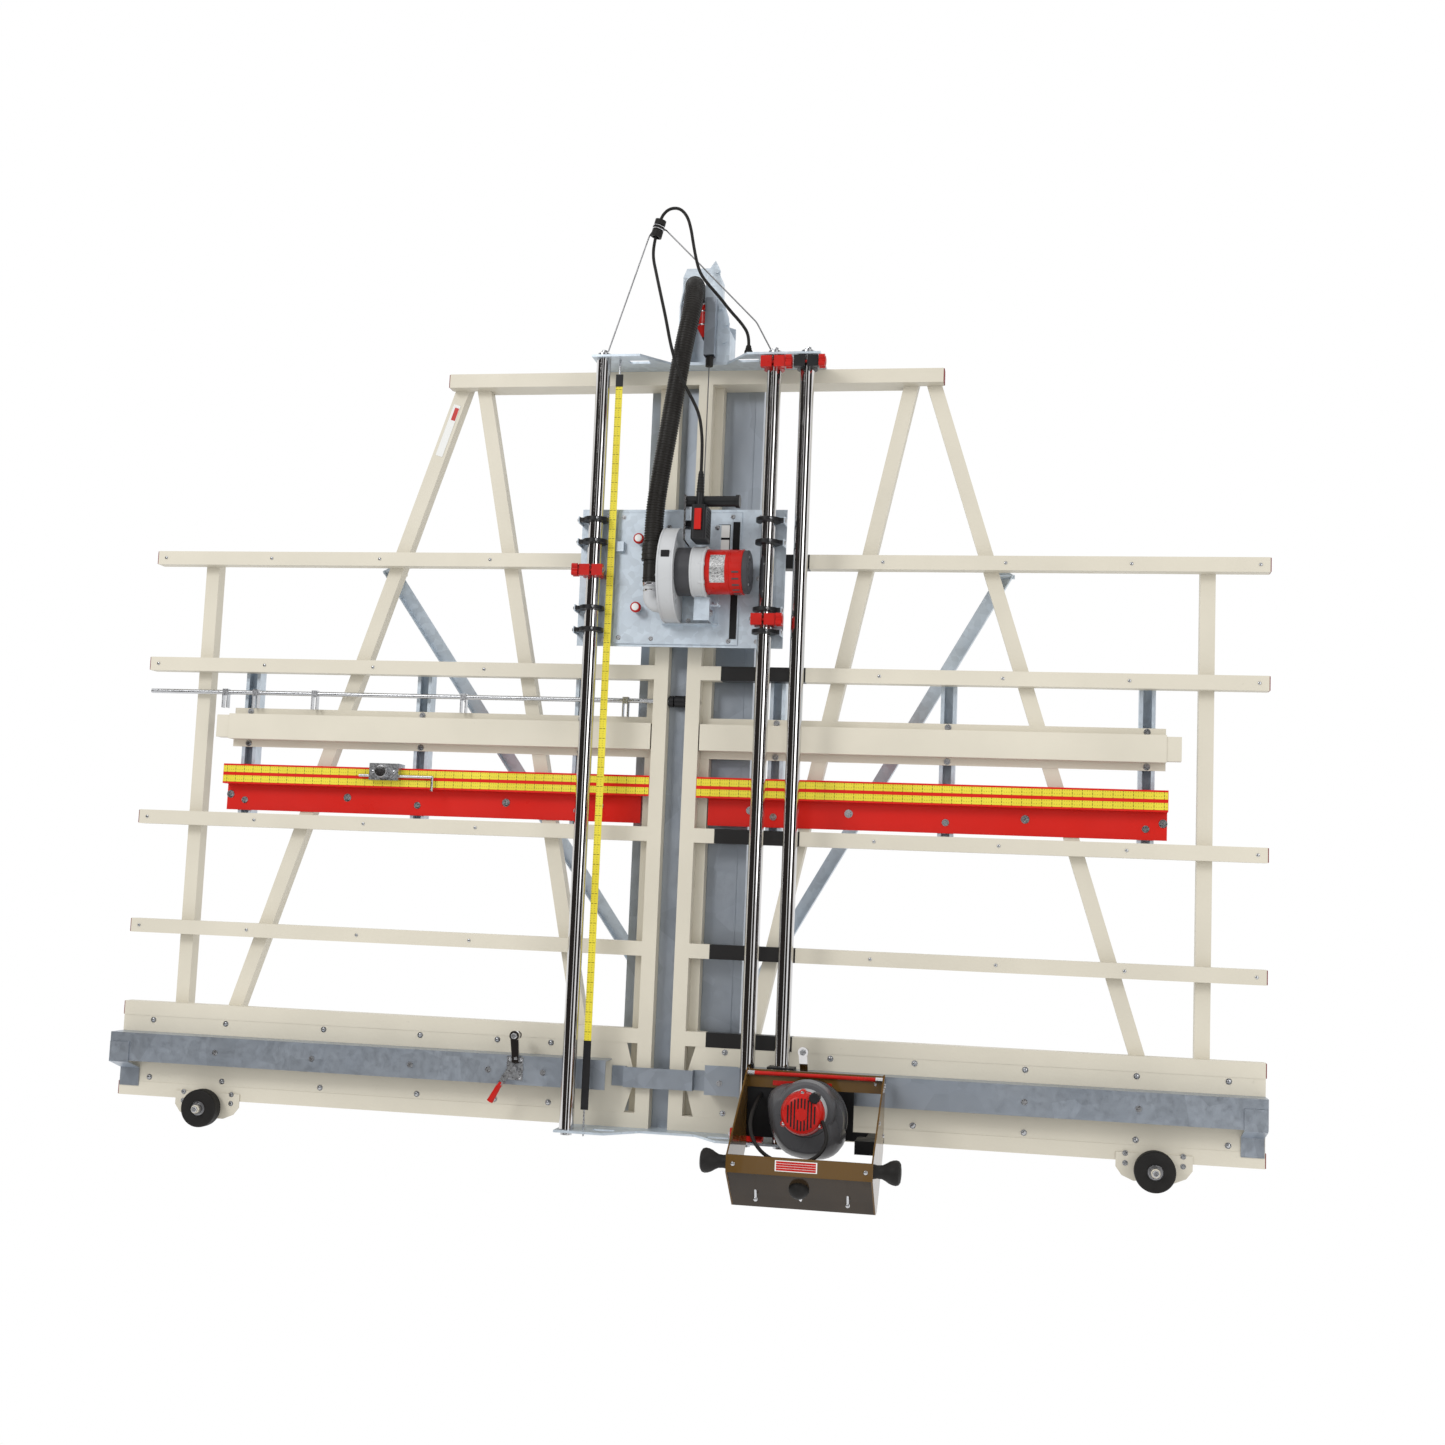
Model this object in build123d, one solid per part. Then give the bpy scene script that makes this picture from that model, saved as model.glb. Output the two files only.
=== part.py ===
from build123d import *

import math
import os

# Vertical panel saw and panel router on a ten foot frame that leans back on a rear stand.
# Everything is drawn with the frame upright and is leaned back as it is written:
# x runs along the frame, w runs back through it from the front of the rails,
# and v runs up it from the top edge of the lower beam. Lengths are in millimetres.

LEAN = 12.0                    # degrees that the frame leans back
FLOOR_DROP = 312.03            # from the v = 0 edge down to the floor
DEPTH_SHIFT = -83.06           # brings the middle of the depth to y = 0

TUBE = 38.1                    # square frame tube
WALL = 2.0
HALF_LENGTH = 1524.0
RAIL_TOPS = (1268.0, 964.0, 531.0, 228.0)
TOP_BEAM_TOP = 1774.0
TOP_BEAM_HALF = 685.0
BEAM_BOTTOM = -256.0
POST_INNER = 25.4              # centre posts, inner face
POST_OUTER = POST_INNER + TUBE
INSERT_START, INSERT_END = 118.0, 345.0
SHEET = 3.0

GUIDE_W = -113.0               # guide tube axes, in front of the rails
GUIDE_R = 19.05
GUIDE_X = {"left": -215.0, "middle": 248.5, "right": 336.0}
GUIDE_BOTTOM, GUIDE_TOP = BEAM_BOTTOM, TOP_BEAM_TOP
PLATE = 6.0                    # end plates of the guide tubes

SAW_V = 1188.0                 # turntable centre, at x = 0
CARRIAGE_BACK = -72.5
CARRIAGE_X = (-262.0, 292.0)
CARRIAGE_V = (1003.0, 1372.0)
TURN_X = (-164.0, 172.0)
TURN_V = (1010.0, 1366.0)
TURN_FRONT = -78.5
FOOT_FRONT = -81.5
BLADE_R, BLADE_W = 104.0, -107.0
MOTOR_R, MOTOR_W = 58.0, -150.0
GUARD_R = 124.0
INDEX_PINS = ((-98.0, 1287.0), (-98.0, 1103.0))     # x and v of the turntable's plungers
RING_LEVELS = (1335.0, 1276.0, 1098.0, 1040.0)
RING_R = 33.0

ROD_W, ROD_V, ROD_R = 18.0, 869.0, 6.5              # rod that carries the cut-off stops
ROUTER_X, ROUTER_V = 423.0, -150.0
SHIELD_X = (258.0, 602.0)
MOTOR_BORE = 53.0
LEVER_PIVOT = (-240.0, -234.0)                      # w and v of the plunge crank's axis
WHEEL_X, WHEEL_W, WHEEL_V, WHEEL_R = 1259.0, -38.0, -274.0, 50.0
STAND_X, STAND_W, STAND_V = 857.0, 96.0, 1230.0     # top of each rear leg
STAND_SPREAD, STAND_BACK = 0.616, 0.401             # inward and back, per unit down
LUG_X = 820.0                                       # lugs on the outer braces that hold the legs


def block(x0, x1, w0, w1, v0, v1):
    size = (abs(x1 - x0), abs(w1 - w0), abs(v1 - v0))
    return Pos((x0 + x1) / 2, (w0 + w1) / 2, (v0 + v1) / 2) * Box(*size)


def rod(start, end, radius):
    start, end = Vector(*start), Vector(*end)
    plane = Plane(origin=start, z_dir=(end - start).normalized())
    return plane * Cylinder(radius, (end - start).length, align=(Align.CENTER, Align.CENTER, Align.MIN))


def pipe(start, end, radius, wall):
    return rod(start, end, radius) - rod(start, end, radius - wall)


def cone(start, end, r0, r1):
    start, end = Vector(*start), Vector(*end)
    plane = Plane(origin=start, z_dir=(end - start).normalized())
    return plane * Cone(r0, r1, (end - start).length, align=(Align.CENTER, Align.CENTER, Align.MIN))


def front_plate(points, w0, w1):
    """A plate parallel to the frame, its outline given as (x, v)."""
    outline = make_face(Polyline(*[(x, 0, v) for x, v in points], close=True))
    return Pos(0, min(w0, w1), 0) * extrude(outline, amount=abs(w1 - w0), dir=(0, 1, 0))


def side_plate(points, x0, x1):
    """A plate square to the frame, its outline given as (w, v)."""
    outline = make_face(Polyline(*[(0, w, v) for w, v in points], close=True))
    return Pos(min(x0, x1), 0, 0) * extrude(outline, amount=abs(x1 - x0), dir=(1, 0, 0))


def flat_plate(points, v0, v1):
    """A level plate, its outline given as (x, w)."""
    outline = make_face(Polyline(*[(x, w, 0) for x, w in points], close=True))
    return Pos(0, 0, min(v0, v1)) * extrude(outline, amount=abs(v1 - v0), dir=(0, 0, 1))


def tube_along(x0, x1, w0, v0, height=TUBE, depth=TUBE, wall=WALL):
    """Square tube along x, open at both ends."""
    outer = block(x0, x1, w0, w0 + depth, v0, v0 + height)
    return outer - block(x0, x1, w0 + wall, w0 + depth - wall, v0 + wall, v0 + height - wall)


def tube_up(x0, w0, v0, v1, width=TUBE, depth=TUBE, wall=WALL):
    """Square tube up the frame, open at both ends."""
    outer = block(x0, x0 + width, w0, w0 + depth, v0, v1)
    return outer - block(x0 + wall, x0 + width - wall, w0 + wall, w0 + depth - wall, v0, v1)


def brace(x_top, v_top, x_bottom, v_bottom, w0):
    """Sloping square tube, cut level at both ends; x is its centre line."""
    slope = math.hypot(x_bottom - x_top, v_top - v_bottom) / (v_top - v_bottom)
    half = TUBE / 2 * slope
    inner = (TUBE / 2 - WALL) * slope

    def prism(reach, w_from, w_to):
        return front_plate([(x_top - reach, v_top), (x_top + reach, v_top),
                            (x_bottom + reach, v_bottom), (x_bottom - reach, v_bottom)], w_from, w_to)

    return prism(half, w0, w0 + TUBE) - prism(inner, w0 + WALL, w0 + TUBE - WALL)


def both_sides(shape):
    return [shape, mirror(shape, Plane.YZ)]


def hex_bolt(x, w, v, radius=6.5, height=5.0):
    """Bolt head that stands forward of the face at w, on a washer."""
    washer = rod((x, w, v), (x, w - 1.5, v), radius * 1.55)
    return washer + Pos(x, w - 1.5, v) * Rot(90, 0, 0) * extrude(RegularPolygon(radius, 6), amount=height)


# ---------------------------------------------------------------- frame

BRACE_W = TUBE                                   # posts and braces stand behind the rails


def outer_brace_x(v):
    return 648.3 + (1215.5 - 648.3) * (TOP_BEAM_TOP - v) / TOP_BEAM_TOP


def inner_brace_x(v):
    return 604.6 - (604.6 - 233.9) * (TOP_BEAM_TOP - v) / TOP_BEAM_TOP


def frame_rails():
    """The four rails, each in three lengths, and the two tubes of the top beam."""
    rails = []
    for level, top in enumerate(RAIL_TOPS):
        rails.append(tube_along(-HALF_LENGTH, -POST_OUTER, 0, top - TUBE))
        rails.append(tube_along(INSERT_END, HALF_LENGTH, 0, top - TUBE))
        rails.append(tube_along(POST_OUTER, INSERT_START, 0, top - TUBE))
    half_rear = inner_brace_x(TOP_BEAM_TOP - TUBE) - TUBE / 2 * 1.03
    rails.append(tube_along(-TOP_BEAM_HALF, TOP_BEAM_HALF, 0, TOP_BEAM_TOP - TUBE))
    rails.append(tube_along(-half_rear, half_rear, BRACE_W, TOP_BEAM_TOP - TUBE))
    return rails


def rail_end_caps():
    caps = []
    for top in RAIL_TOPS + (0.0, BEAM_BOTTOM + TUBE):
        cap = block(HALF_LENGTH, HALF_LENGTH + 2.5, 1, TUBE - 1, top - TUBE + 1, top - 1)
        cap += block(HALF_LENGTH - 12, HALF_LENGTH, WALL, TUBE - WALL, top - TUBE + WALL, top - WALL)
        caps += both_sides(cap)
    top = block(TOP_BEAM_HALF, TOP_BEAM_HALF + 2.5, 1, TUBE - 1, TOP_BEAM_TOP - TUBE + 1, TOP_BEAM_TOP - 1)
    top += block(TOP_BEAM_HALF - 12, TOP_BEAM_HALF, WALL, TUBE - WALL,
                 TOP_BEAM_TOP - TUBE + WALL, TOP_BEAM_TOP - WALL)
    return caps + both_sides(top)


def router_track_inserts():
    """Black slotted profiles that close the rails behind the router."""
    inserts = []
    for top in RAIL_TOPS + (0.0,):
        bar = block(INSERT_START, INSERT_END, 0, TUBE, top - TUBE, top)
        for slot_v in (top - TUBE * 0.3, top - TUBE * 0.7):
            bar -= block(INSERT_START, INSERT_END, 6, TUBE - 6, slot_v - 5, slot_v + 5)
        inserts.append(bar)
    return inserts


def frame_uprights():
    shapes = both_sides(tube_up(1355.4, BRACE_W, -TUBE, RAIL_TOPS[0]))
    for centre in (outer_brace_x, inner_brace_x):
        shapes += both_sides(brace(centre(TOP_BEAM_TOP), TOP_BEAM_TOP, centre(-TUBE), -TUBE, BRACE_W))
    lug_back = BRACE_W + TUBE
    lug = block(LUG_X - 4, LUG_X + 4, lug_back, STAND_W + 10, STAND_V - 10, STAND_V + 12)
    lug -= rod((LUG_X - 10, STAND_W, STAND_V), (LUG_X + 10, STAND_W, STAND_V), 6.05)
    return shapes + both_sides(lug)


def centre_posts():
    front = tube_up(POST_INNER, 0, BEAM_BOTTOM, TOP_BEAM_TOP - TUBE)
    front -= rod((0, ROD_W, ROD_V), (100, ROD_W, ROD_V), ROD_R + 0.6)
    rear = tube_up(50.0, BRACE_W, BEAM_BOTTOM, TOP_BEAM_TOP - TUBE)
    return both_sides(front) + both_sides(rear)


COLUMN_X = (-120.0, 194.0)
COLUMN_W = (76.4, 166.0)
COLUMN_V = (-240.0, 1742.0)
INLET_X, INLET_W, INLET_TOP = 6.0, 121.0, 1800.0
HOSE_R = 25.0


def dust_column():
    """Wide sheet steel duct behind the frame, and the channel that backs the blade's path."""
    (x0, x1), (w0, w1), (v0, v1) = COLUMN_X, COLUMN_W, COLUMN_V
    gauge = 1.6
    front = block(x0, x1, w0, w0 + gauge, v0, v1)
    front += block(x1 - 26, x1 - 24, w0 - 2.0, w0, v0, TOP_BEAM_TOP - TUBE - 2)
    back = block(x0, x1, w1 - gauge, w1, v0 + 160, v1)
    left = block(x0, x0 + gauge, w0 + gauge, w1 - gauge, v0, v1)
    right = block(x1 - gauge, x1, w0 + gauge, w1 - gauge, v0, v1)
    lid = block(x0 + gauge, x1 - gauge, w0 + gauge, w1 - gauge, v1 - gauge, v1)
    lid -= rod((INLET_X, INLET_W, v1 - 10), (INLET_X, INLET_W, v1 + 10), HOSE_R - 2)
    floor = block(x0 + gauge, x1 - gauge, w0 + gauge, w1 - gauge, v0, v0 + gauge)
    collar = pipe((INLET_X, INLET_W, v1), (INLET_X, INLET_W, INLET_TOP - 1), HOSE_R - 2, gauge)
    channel = block(-48, 48, TUBE + 0.4, TUBE + 2, BEAM_BOTTOM, TOP_BEAM_TOP - TUBE)
    return [front, back, left, right, lid, floor, collar, channel]


def lower_beam():
    shapes = []
    for v0 in (-TUBE, BEAM_BOTTOM):
        shapes.append(tube_along(-HALF_LENGTH, -POST_OUTER, 0, v0))
    shapes.append(tube_along(POST_OUTER, HALF_LENGTH, 0, BEAM_BOTTOM))
    shapes.append(tube_along(POST_OUTER, INSERT_START, 0, -TUBE))
    shapes.append(tube_along(INSERT_END, HALF_LENGTH, 0, -TUBE))
    low, high = BEAM_BOTTOM + TUBE, -TUBE
    middle = (low + high) / 2
    skin = [(-HALF_LENGTH, high), (-92, high), (-66, middle), (-92, low), (-HALF_LENGTH, low)]
    shapes.append(front_plate(skin, 1.0, 1.0 + SHEET))
    shapes.append(front_plate([(-x, v) for x, v in skin], 1.0, 1.0 + SHEET))
    return shapes


STRIP_TOP, STRIP_HEIGHT, STRIP_FRONT = -81.0, 76.0, -66.0
STRIP_BOLTS = (-1215.0, -938.0, -661.0, -446.0, -298.0, 170.0, 940.0, 1216.0)


def fence_strips():
    """Folded strips that carry the panel's lower edge, their end brackets and the centre bridge."""
    shapes = []
    for x0, x1 in ((-1523.0, -131.0), (218.0, 1523.0)):
        strip = block(x0, x1, STRIP_FRONT, STRIP_FRONT + SHEET, STRIP_TOP - STRIP_HEIGHT, STRIP_TOP)
        strip += block(x0, x1, STRIP_FRONT, 1.0, STRIP_TOP - SHEET, STRIP_TOP)
        notch = rod((ROUTER_X, STRIP_FRONT - 5, ROUTER_V), (ROUTER_X, STRIP_FRONT + 5, ROUTER_V), 16)
        shapes.append(strip - notch)
    shapes.append(block(131, 217.9, STRIP_FRONT, STRIP_FRONT + SHEET, -153, -78)
                  + block(131, 217.9, STRIP_FRONT + SHEET, 1.0, -153, -150))
    gap = STRIP_FRONT - SHEET
    bracket = side_plate([(gap, -106), (gap + SHEET, -106), (gap + SHEET, -158), (0, -179.6),
                          (0, -230), (-SHEET, -230), (-SHEET, -182), (gap, -160.4)], 1466, 1522)
    shapes += both_sides(bracket)
    step, tab_v = -26.0, (-150.0, -98.0)
    bridge = block(-128, -92, -2, 1, *tab_v) + block(92, 122, -2, 1, *tab_v)
    bridge += block(-92, -89, step, 1, *tab_v) + block(89, 92, step, 1, *tab_v)
    bridge += block(-92, 92, step, step + SHEET, *tab_v)
    shapes.append(bridge)
    return shapes


HAT_V = (738.0, 808.0)
HAT_LIP = 19.5
HAT_X = (67.0, 1275.0)
STRUT_W = TUBE
STRUTS = (268.0, 721.0, 1228.0)


def hat_beams():
    """Two folded hat-section beams between the rails, each with a bar inside that shows at its end."""
    (x0, x1), (v0, v1) = HAT_X, HAT_V
    back = STRUT_W
    profile = [(0, v0), (0, v1), (back - 2, v1), (back - 2, v1 + HAT_LIP), (back, v1 + HAT_LIP),
               (back, v1 - 2), (2, v1 - 2), (2, v0 + 2), (back, v0 + 2), (back, v0 - HAT_LIP),
               (back - 2, v0 - HAT_LIP), (back - 2, v0)]
    hat = side_plate(profile, x0, x1)
    bar = tube_along(x0, 1312.0, 2.2, v0 + 4, height=62, depth=33, wall=2)
    return both_sides(hat) + both_sides(bar)


def fence_struts():
    """Slotted channels, open to the front, that carry the hat beams and the mid fence."""
    struts = []
    for x in STRUTS:
        channel = block(x - 20.6, x + 20.6, STRUT_W, STRUT_W + 38, 500, 950)
        channel -= block(x - 18.1, x + 18.1, STRUT_W + 2.5, STRUT_W + 35.5, 500, 950)
        channel -= block(x - 11, x + 11, STRUT_W, STRUT_W + 2.5, 500, 950)
        struts += both_sides(channel)
    return struts


FENCE_X = (64.0, 1281.0)
FENCE_V = (612.0, 667.0)
FENCE_FOOT_V = 541.0


def mid_fence():
    """Red folded fences: a face in line with the rails, a shelf and a foot bolted to the struts."""
    (x0, x1), (v0, v1) = FENCE_X, FENCE_V
    face = block(x0, x1, 0, 2.5, v0, v1)
    shelf_top = block(x0, x1, 2.5, 36, v1 - 2.5, v1)
    shelf_low = block(x0 + 28, x1, 2.5, 36, v0, v0 + 2.5)
    foot = block(x0 + 28, x1, 35.4, 37.9, FENCE_FOOT_V, v0 + 2.5)
    return both_sides(face + shelf_top + shelf_low + foot)


TAPE_X, TAPE_W = -173.0, -101.0


def measuring_tapes():
    """Two yellow tapes on each fence and the long one beside the left guide tube."""
    tapes = []
    for v0 in (617.0, 644.0):
        tapes += both_sides(block(FENCE_X[0] + 1, FENCE_X[1] - 1, -0.8, 0, v0, v0 + 18))
    tapes.append(block(TAPE_X - 9.5, TAPE_X + 9.5, TAPE_W, TAPE_W + 0.8, -205, 1735))
    return tapes


# ---------------------------------------------------------------- guides and tower

def guide_tubes():
    return [pipe((x, GUIDE_W, GUIDE_BOTTOM), (x, GUIDE_W, GUIDE_TOP), GUIDE_R, 3.0)
            for x in GUIDE_X.values()]


def tube_plates():
    """Level plates on the top beam and under the lower beam that hold the guide tubes."""
    outline = [(-243, -138), (-111, -138), (-36, -52), (109, -52), (177, -138), (372, -138),
               (372, 10), (177, TUBE), (-111, TUBE), (-243, 10)]
    plates = []
    for v in (TOP_BEAM_TOP, BEAM_BOTTOM - PLATE):
        plate = flat_plate(outline, v, v + PLATE)
        for x in (-124, 174):
            plate -= block(x - 28, x + 28, -98, -72, v - 1, v + PLATE + 1)
        plates.append(plate - rod((TAPE_X, TAPE_W + 0.4, v - 1), (TAPE_X, TAPE_W + 0.4, v + PLATE + 1), 3.5))
    return plates


def frame_bolts():
    """Zinc-plated bolts, tube caps and the long tape's fittings."""
    shapes = []
    foot = 35.4
    for x in (206.0, 468.0, 925.0, 1271.0):
        shapes += both_sides(hex_bolt(x, foot, 584.0, 7.0))
    for x in STRUTS:
        shapes += both_sides(hex_bolt(x, foot, 569.0, 6.0))
        for v in (HAT_V[0] - HAT_LIP / 2, HAT_V[1] + HAT_LIP / 2):
            shapes += both_sides(hex_bolt(x, STRUT_W - 2, v, 5.5, 4.0))
    for x in STRIP_BOLTS:
        shapes.append(hex_bolt(x, STRIP_FRONT, -122.0, 5.0, 3.0))
    for x in GUIDE_X.values():
        top = TOP_BEAM_TOP + PLATE
        shapes.append(rod((x, GUIDE_W, top), (x, GUIDE_W, top + 8), 17.5)
                      + rod((x, GUIDE_W, top + 8), (x, GUIDE_W, top + 14), 9.0))
        low = BEAM_BOTTOM - PLATE
        shapes.append(rod((x, GUIDE_W, low - 7), (x, GUIDE_W, low), 15.0))
    shapes += [rod((TAPE_X, TAPE_W + 0.4, 1735), (TAPE_X, TAPE_W + 0.4, TOP_BEAM_TOP + 16), 2.5),
               rod((TAPE_X, TAPE_W + 0.4, BEAM_BOTTOM - 16), (TAPE_X, TAPE_W + 0.4, -205), 2.5)]
    return shapes


STOP_HEIGHT, STOP_R = 30.0, 27.0
EAR_X, EAR_W, SCREW_W = 32.0, -150.0, -141.0
STOPS = {"middle_top": ("middle", 1752.0), "right_top": ("right", 1752.0), "middle_low": ("middle", -236.0)}


def split_collar(x, v):
    """Clamping collar with two ears; its screw runs along x in front of the tube."""
    collar = pipe((x, GUIDE_W, v - STOP_HEIGHT / 2), (x, GUIDE_W, v + STOP_HEIGHT / 2), STOP_R, STOP_R - GUIDE_R)
    for ear in (-1, 1):
        collar += block(x + ear * 3, x + ear * EAR_X, EAR_W, GUIDE_W - GUIDE_R - 2,
                        v - STOP_HEIGHT / 2, v + STOP_HEIGHT / 2)
    collar -= block(x - 3, x + 3, EAR_W - 1, GUIDE_W - GUIDE_R + 1, v - 30, v + 30)
    collar -= rod((x - 40, SCREW_W, v), (x + 40, SCREW_W, v), 4.05)
    return collar


def collar_knob(x, v, side, reach=EAR_X + 2):
    """Red four-lobed knob on the collar's screw, with its near face at reach from the tube's axis."""
    knob = rod((x + side * reach, SCREW_W, v), (x + side * (reach + 16), SCREW_W, v), 13)
    for turn in range(4):
        angle = math.radians(45 + 90 * turn)
        dw, dv = 13 * math.cos(angle), 13 * math.sin(angle)
        knob += rod((x + side * reach, SCREW_W + dw, v + dv),
                    (x + side * (reach + 16), SCREW_W + dw, v + dv), 7)
    return knob + rod((x - side * (EAR_X + 3), SCREW_W, v), (x + side * reach, SCREW_W, v), 4.0)


def tube_stops():
    return [split_collar(GUIDE_X[name], v) for name, v in STOPS.values()]


def stop_knob(stop):
    name, v = STOPS[stop]
    return [collar_knob(GUIDE_X[name], v, 1)]


TOWER_W = -50.0
TOWER_LEFT = -28.0
HANGER_W, HANGER_V = -24.0, 1957.0


def tower_bracket():
    """Sheet steel tower: a face plate, side plates, a foot, a roof that the hose passes under, a hanger pin."""
    base = TOP_BEAM_TOP + PLATE
    left = TOWER_LEFT
    face = front_plate([(46, base), (114, base), (112, 1870), (109, 1903), (93, 1950), (85, 1997), (77, 2044),
                        (66, 2065), (50, 2042), (41, 2026), (41, 1946), (60, 1940), (60, 1850), (46, 1840)],
                       TOWER_W, TOWER_W + SHEET)
    side = side_plate([(TOWER_W, 1940), (TOWER_W, base), (36, base), (36, 2072), (24, 2072), (-20, 2032),
                       (-20, 1990)], left, left + SHEET)
    foot = flat_plate([(-50, TOWER_W), (121, TOWER_W), (121, TUBE), (-50, TUBE)], base, base + SHEET)
    back = front_plate([(left, base), (114, base), (114, 1900), (left, 1946)], 33, 36)
    web = block(111, 114, TOWER_W, 36, base, 1868)
    cheek = side_plate([(TOWER_W, 1940), (36, 1890), (20, 2022), (TOWER_W, 2024)], 77, 80)
    roof = side_plate([(-20, 2029), (-20, 2032), (24, 2072), (36, 2072), (36, 2069), (25, 2069)], left, 45)
    ear = side_plate([(TOWER_W, 2022), (TOWER_W, 2038), (-20, 2032), (24, 2072), (36, 2072), (36, 2046)], 42, 45)
    pin = rod((left, HANGER_W, HANGER_V), (80, HANGER_W, HANGER_V), 5)
    body = face + side + foot + back + web + cheek + roof + ear + pin
    for x, v, radius in ((72, 2033, 6), (86, 1932, 6), (103, 1886, 6), (98, 1840, 8)):
        body += hex_bolt(x, TOWER_W, v, radius, 4)
    return [body]


BALANCER_X, BALANCER_R = 38.0, 20.0
CABLE_X, CABLE_W = 64.0, -70.0


def cable_balancer():
    """Spring balancer: a red housing that narrows to a tip, hung beside a cable guard channel."""
    x, w = BALANCER_X, HANGER_W
    housing = rod((x, w, 1887), (x, w, 1932), BALANCER_R) + cone((x, w, 1887), (x + 5, w, 1848), BALANCER_R, 5)
    housing += cone((x, w, 1932), (x, w, 1948), BALANCER_R, 9)
    hanger = rod((x - 6, w, HANGER_V), (x + 6, w, HANGER_V), 11)
    hanger -= rod((x - 7, w, HANGER_V), (x + 7, w, HANGER_V), 5.05)
    guard = block(50, 78, -86, -56, 1792, 1950) - block(52, 76, -84, -56, 1792, 1950)
    guard += block(52, 76, -58, -56, 1792, 1800)
    guard += block(62, 72, -60, TOWER_W, 1938, 1950) + block(56, 72, -58, TOWER_W, 1792, 1800)
    bumper = rod((CABLE_X, CABLE_W, 1764), (CABLE_X, CABLE_W, 1792), 10)
    bumper -= rod((CABLE_X, CABLE_W, 1764), (CABLE_X, CABLE_W, 1792), 2.5)
    return [housing + hanger, guard, bumper]


DRUM_V, DRUM_R = 1925.0, 11.0


def balancer_drum():
    """Cable drum in the guard channel; it turns as the saw rises and falls."""
    drum = rod((54, CABLE_W, DRUM_V), (74, CABLE_W, DRUM_V), DRUM_R - 1.0)
    drum -= rod((57, CABLE_W, DRUM_V), (71, CABLE_W, DRUM_V), 20) - rod(
        (57, CABLE_W, DRUM_V), (71, CABLE_W, DRUM_V), DRUM_R - 3)
    return [drum]


def saw_cable():
    return [rod((CABLE_X, CABLE_W, CARRIAGE_V[1] + 1), (CABLE_X, CABLE_W, DRUM_V - DRUM_R - 1), 1.5)]


# ---------------------------------------------------------------- hose and cords

def routed_tube(points, radius):
    """Tube along straight runs joined by arcs, each as large as its two runs allow."""
    corners = [Vector(*p) for p in points]
    radii = []
    for before, corner, after in zip(corners, corners[1:], corners[2:]):
        arrive, leave = corner - before, after - corner
        half_turn = math.radians(arrive.get_angle(leave)) / 2
        radii.append(0.45 * min(arrive.length, leave.length) / math.tan(half_turn))
    print("radii", [round(r) for r in radii])
    path = FilletPolyline(*points, radius=radii)
    section = Plane(origin=points[0], z_dir=(corners[1] - corners[0])) * Circle(radius)
    tube = sweep(section, path=path)
    print("volume over section times length", round(tube.volume / (math.pi * radius**2 * path.length), 4))
    return tube


ELBOW_X, ELBOW_W = -49.0, -150.0
CUFF_BOTTOM, CUFF_TOP = 1160.0, 1262.0

HOSE_ROUTE = [
    (ELBOW_X, ELBOW_W, CUFF_TOP + 0.5), (ELBOW_X, ELBOW_W, 1340), (-37, -158, 1436), (-21, -164, 1541),
    (-4, -167, 1665), (15, -168, 1800), (36, -161, 1918), (15, -77, 1998), (INLET_X, 39, 1998),
    (INLET_X, INLET_W, 1916), (INLET_X, INLET_W, INLET_TOP),
]

GLAND_HEIGHT = 24.0
CORD_R = 4.2
CORD_EXIT = (178.0, -120.0, TOP_BEAM_TOP + PLATE + GLAND_HEIGHT)
POWER_ROUTE = [
    CORD_EXIT, (178, -120, 1832), (158, -127, 1862), (127, -136, 1894), (99, -142, 1929), (66, -148, 1964),
    (44, -150, 1994), (32, -148, 2032), (21, -141, 2078), (12, -136, 2122), (0, -133, 2158),
    (-22, -131, 2182), (-51, -130, 2182), (-70, -130, 2163), (-77, -130, 2137), (-87, -130, 2097),
    (-90, -134, 2050), (-74, -150, 1995), (-50, -196, 1925), (-28, -215, 1850), (-8, -222, 1765),
    (18, -222, 1690), (48, -221, 1640), (74, -219, 1590), (83, -217, 1532), (84, -215, 1486),
    (84, -215, 1441),
]

GROMMET = (-78.0, -130.0, 2128.0)
GROMMET_TILT = 14.0                                 # degrees, its top to the right
WRAP_R = 14.6                                       # support wire's turn round the grommet


def dust_hose():
    return [routed_tube(HOSE_ROUTE, HOSE_R)]


def power_cord():
    return [routed_tube(POWER_ROUTE, CORD_R)]


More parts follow.
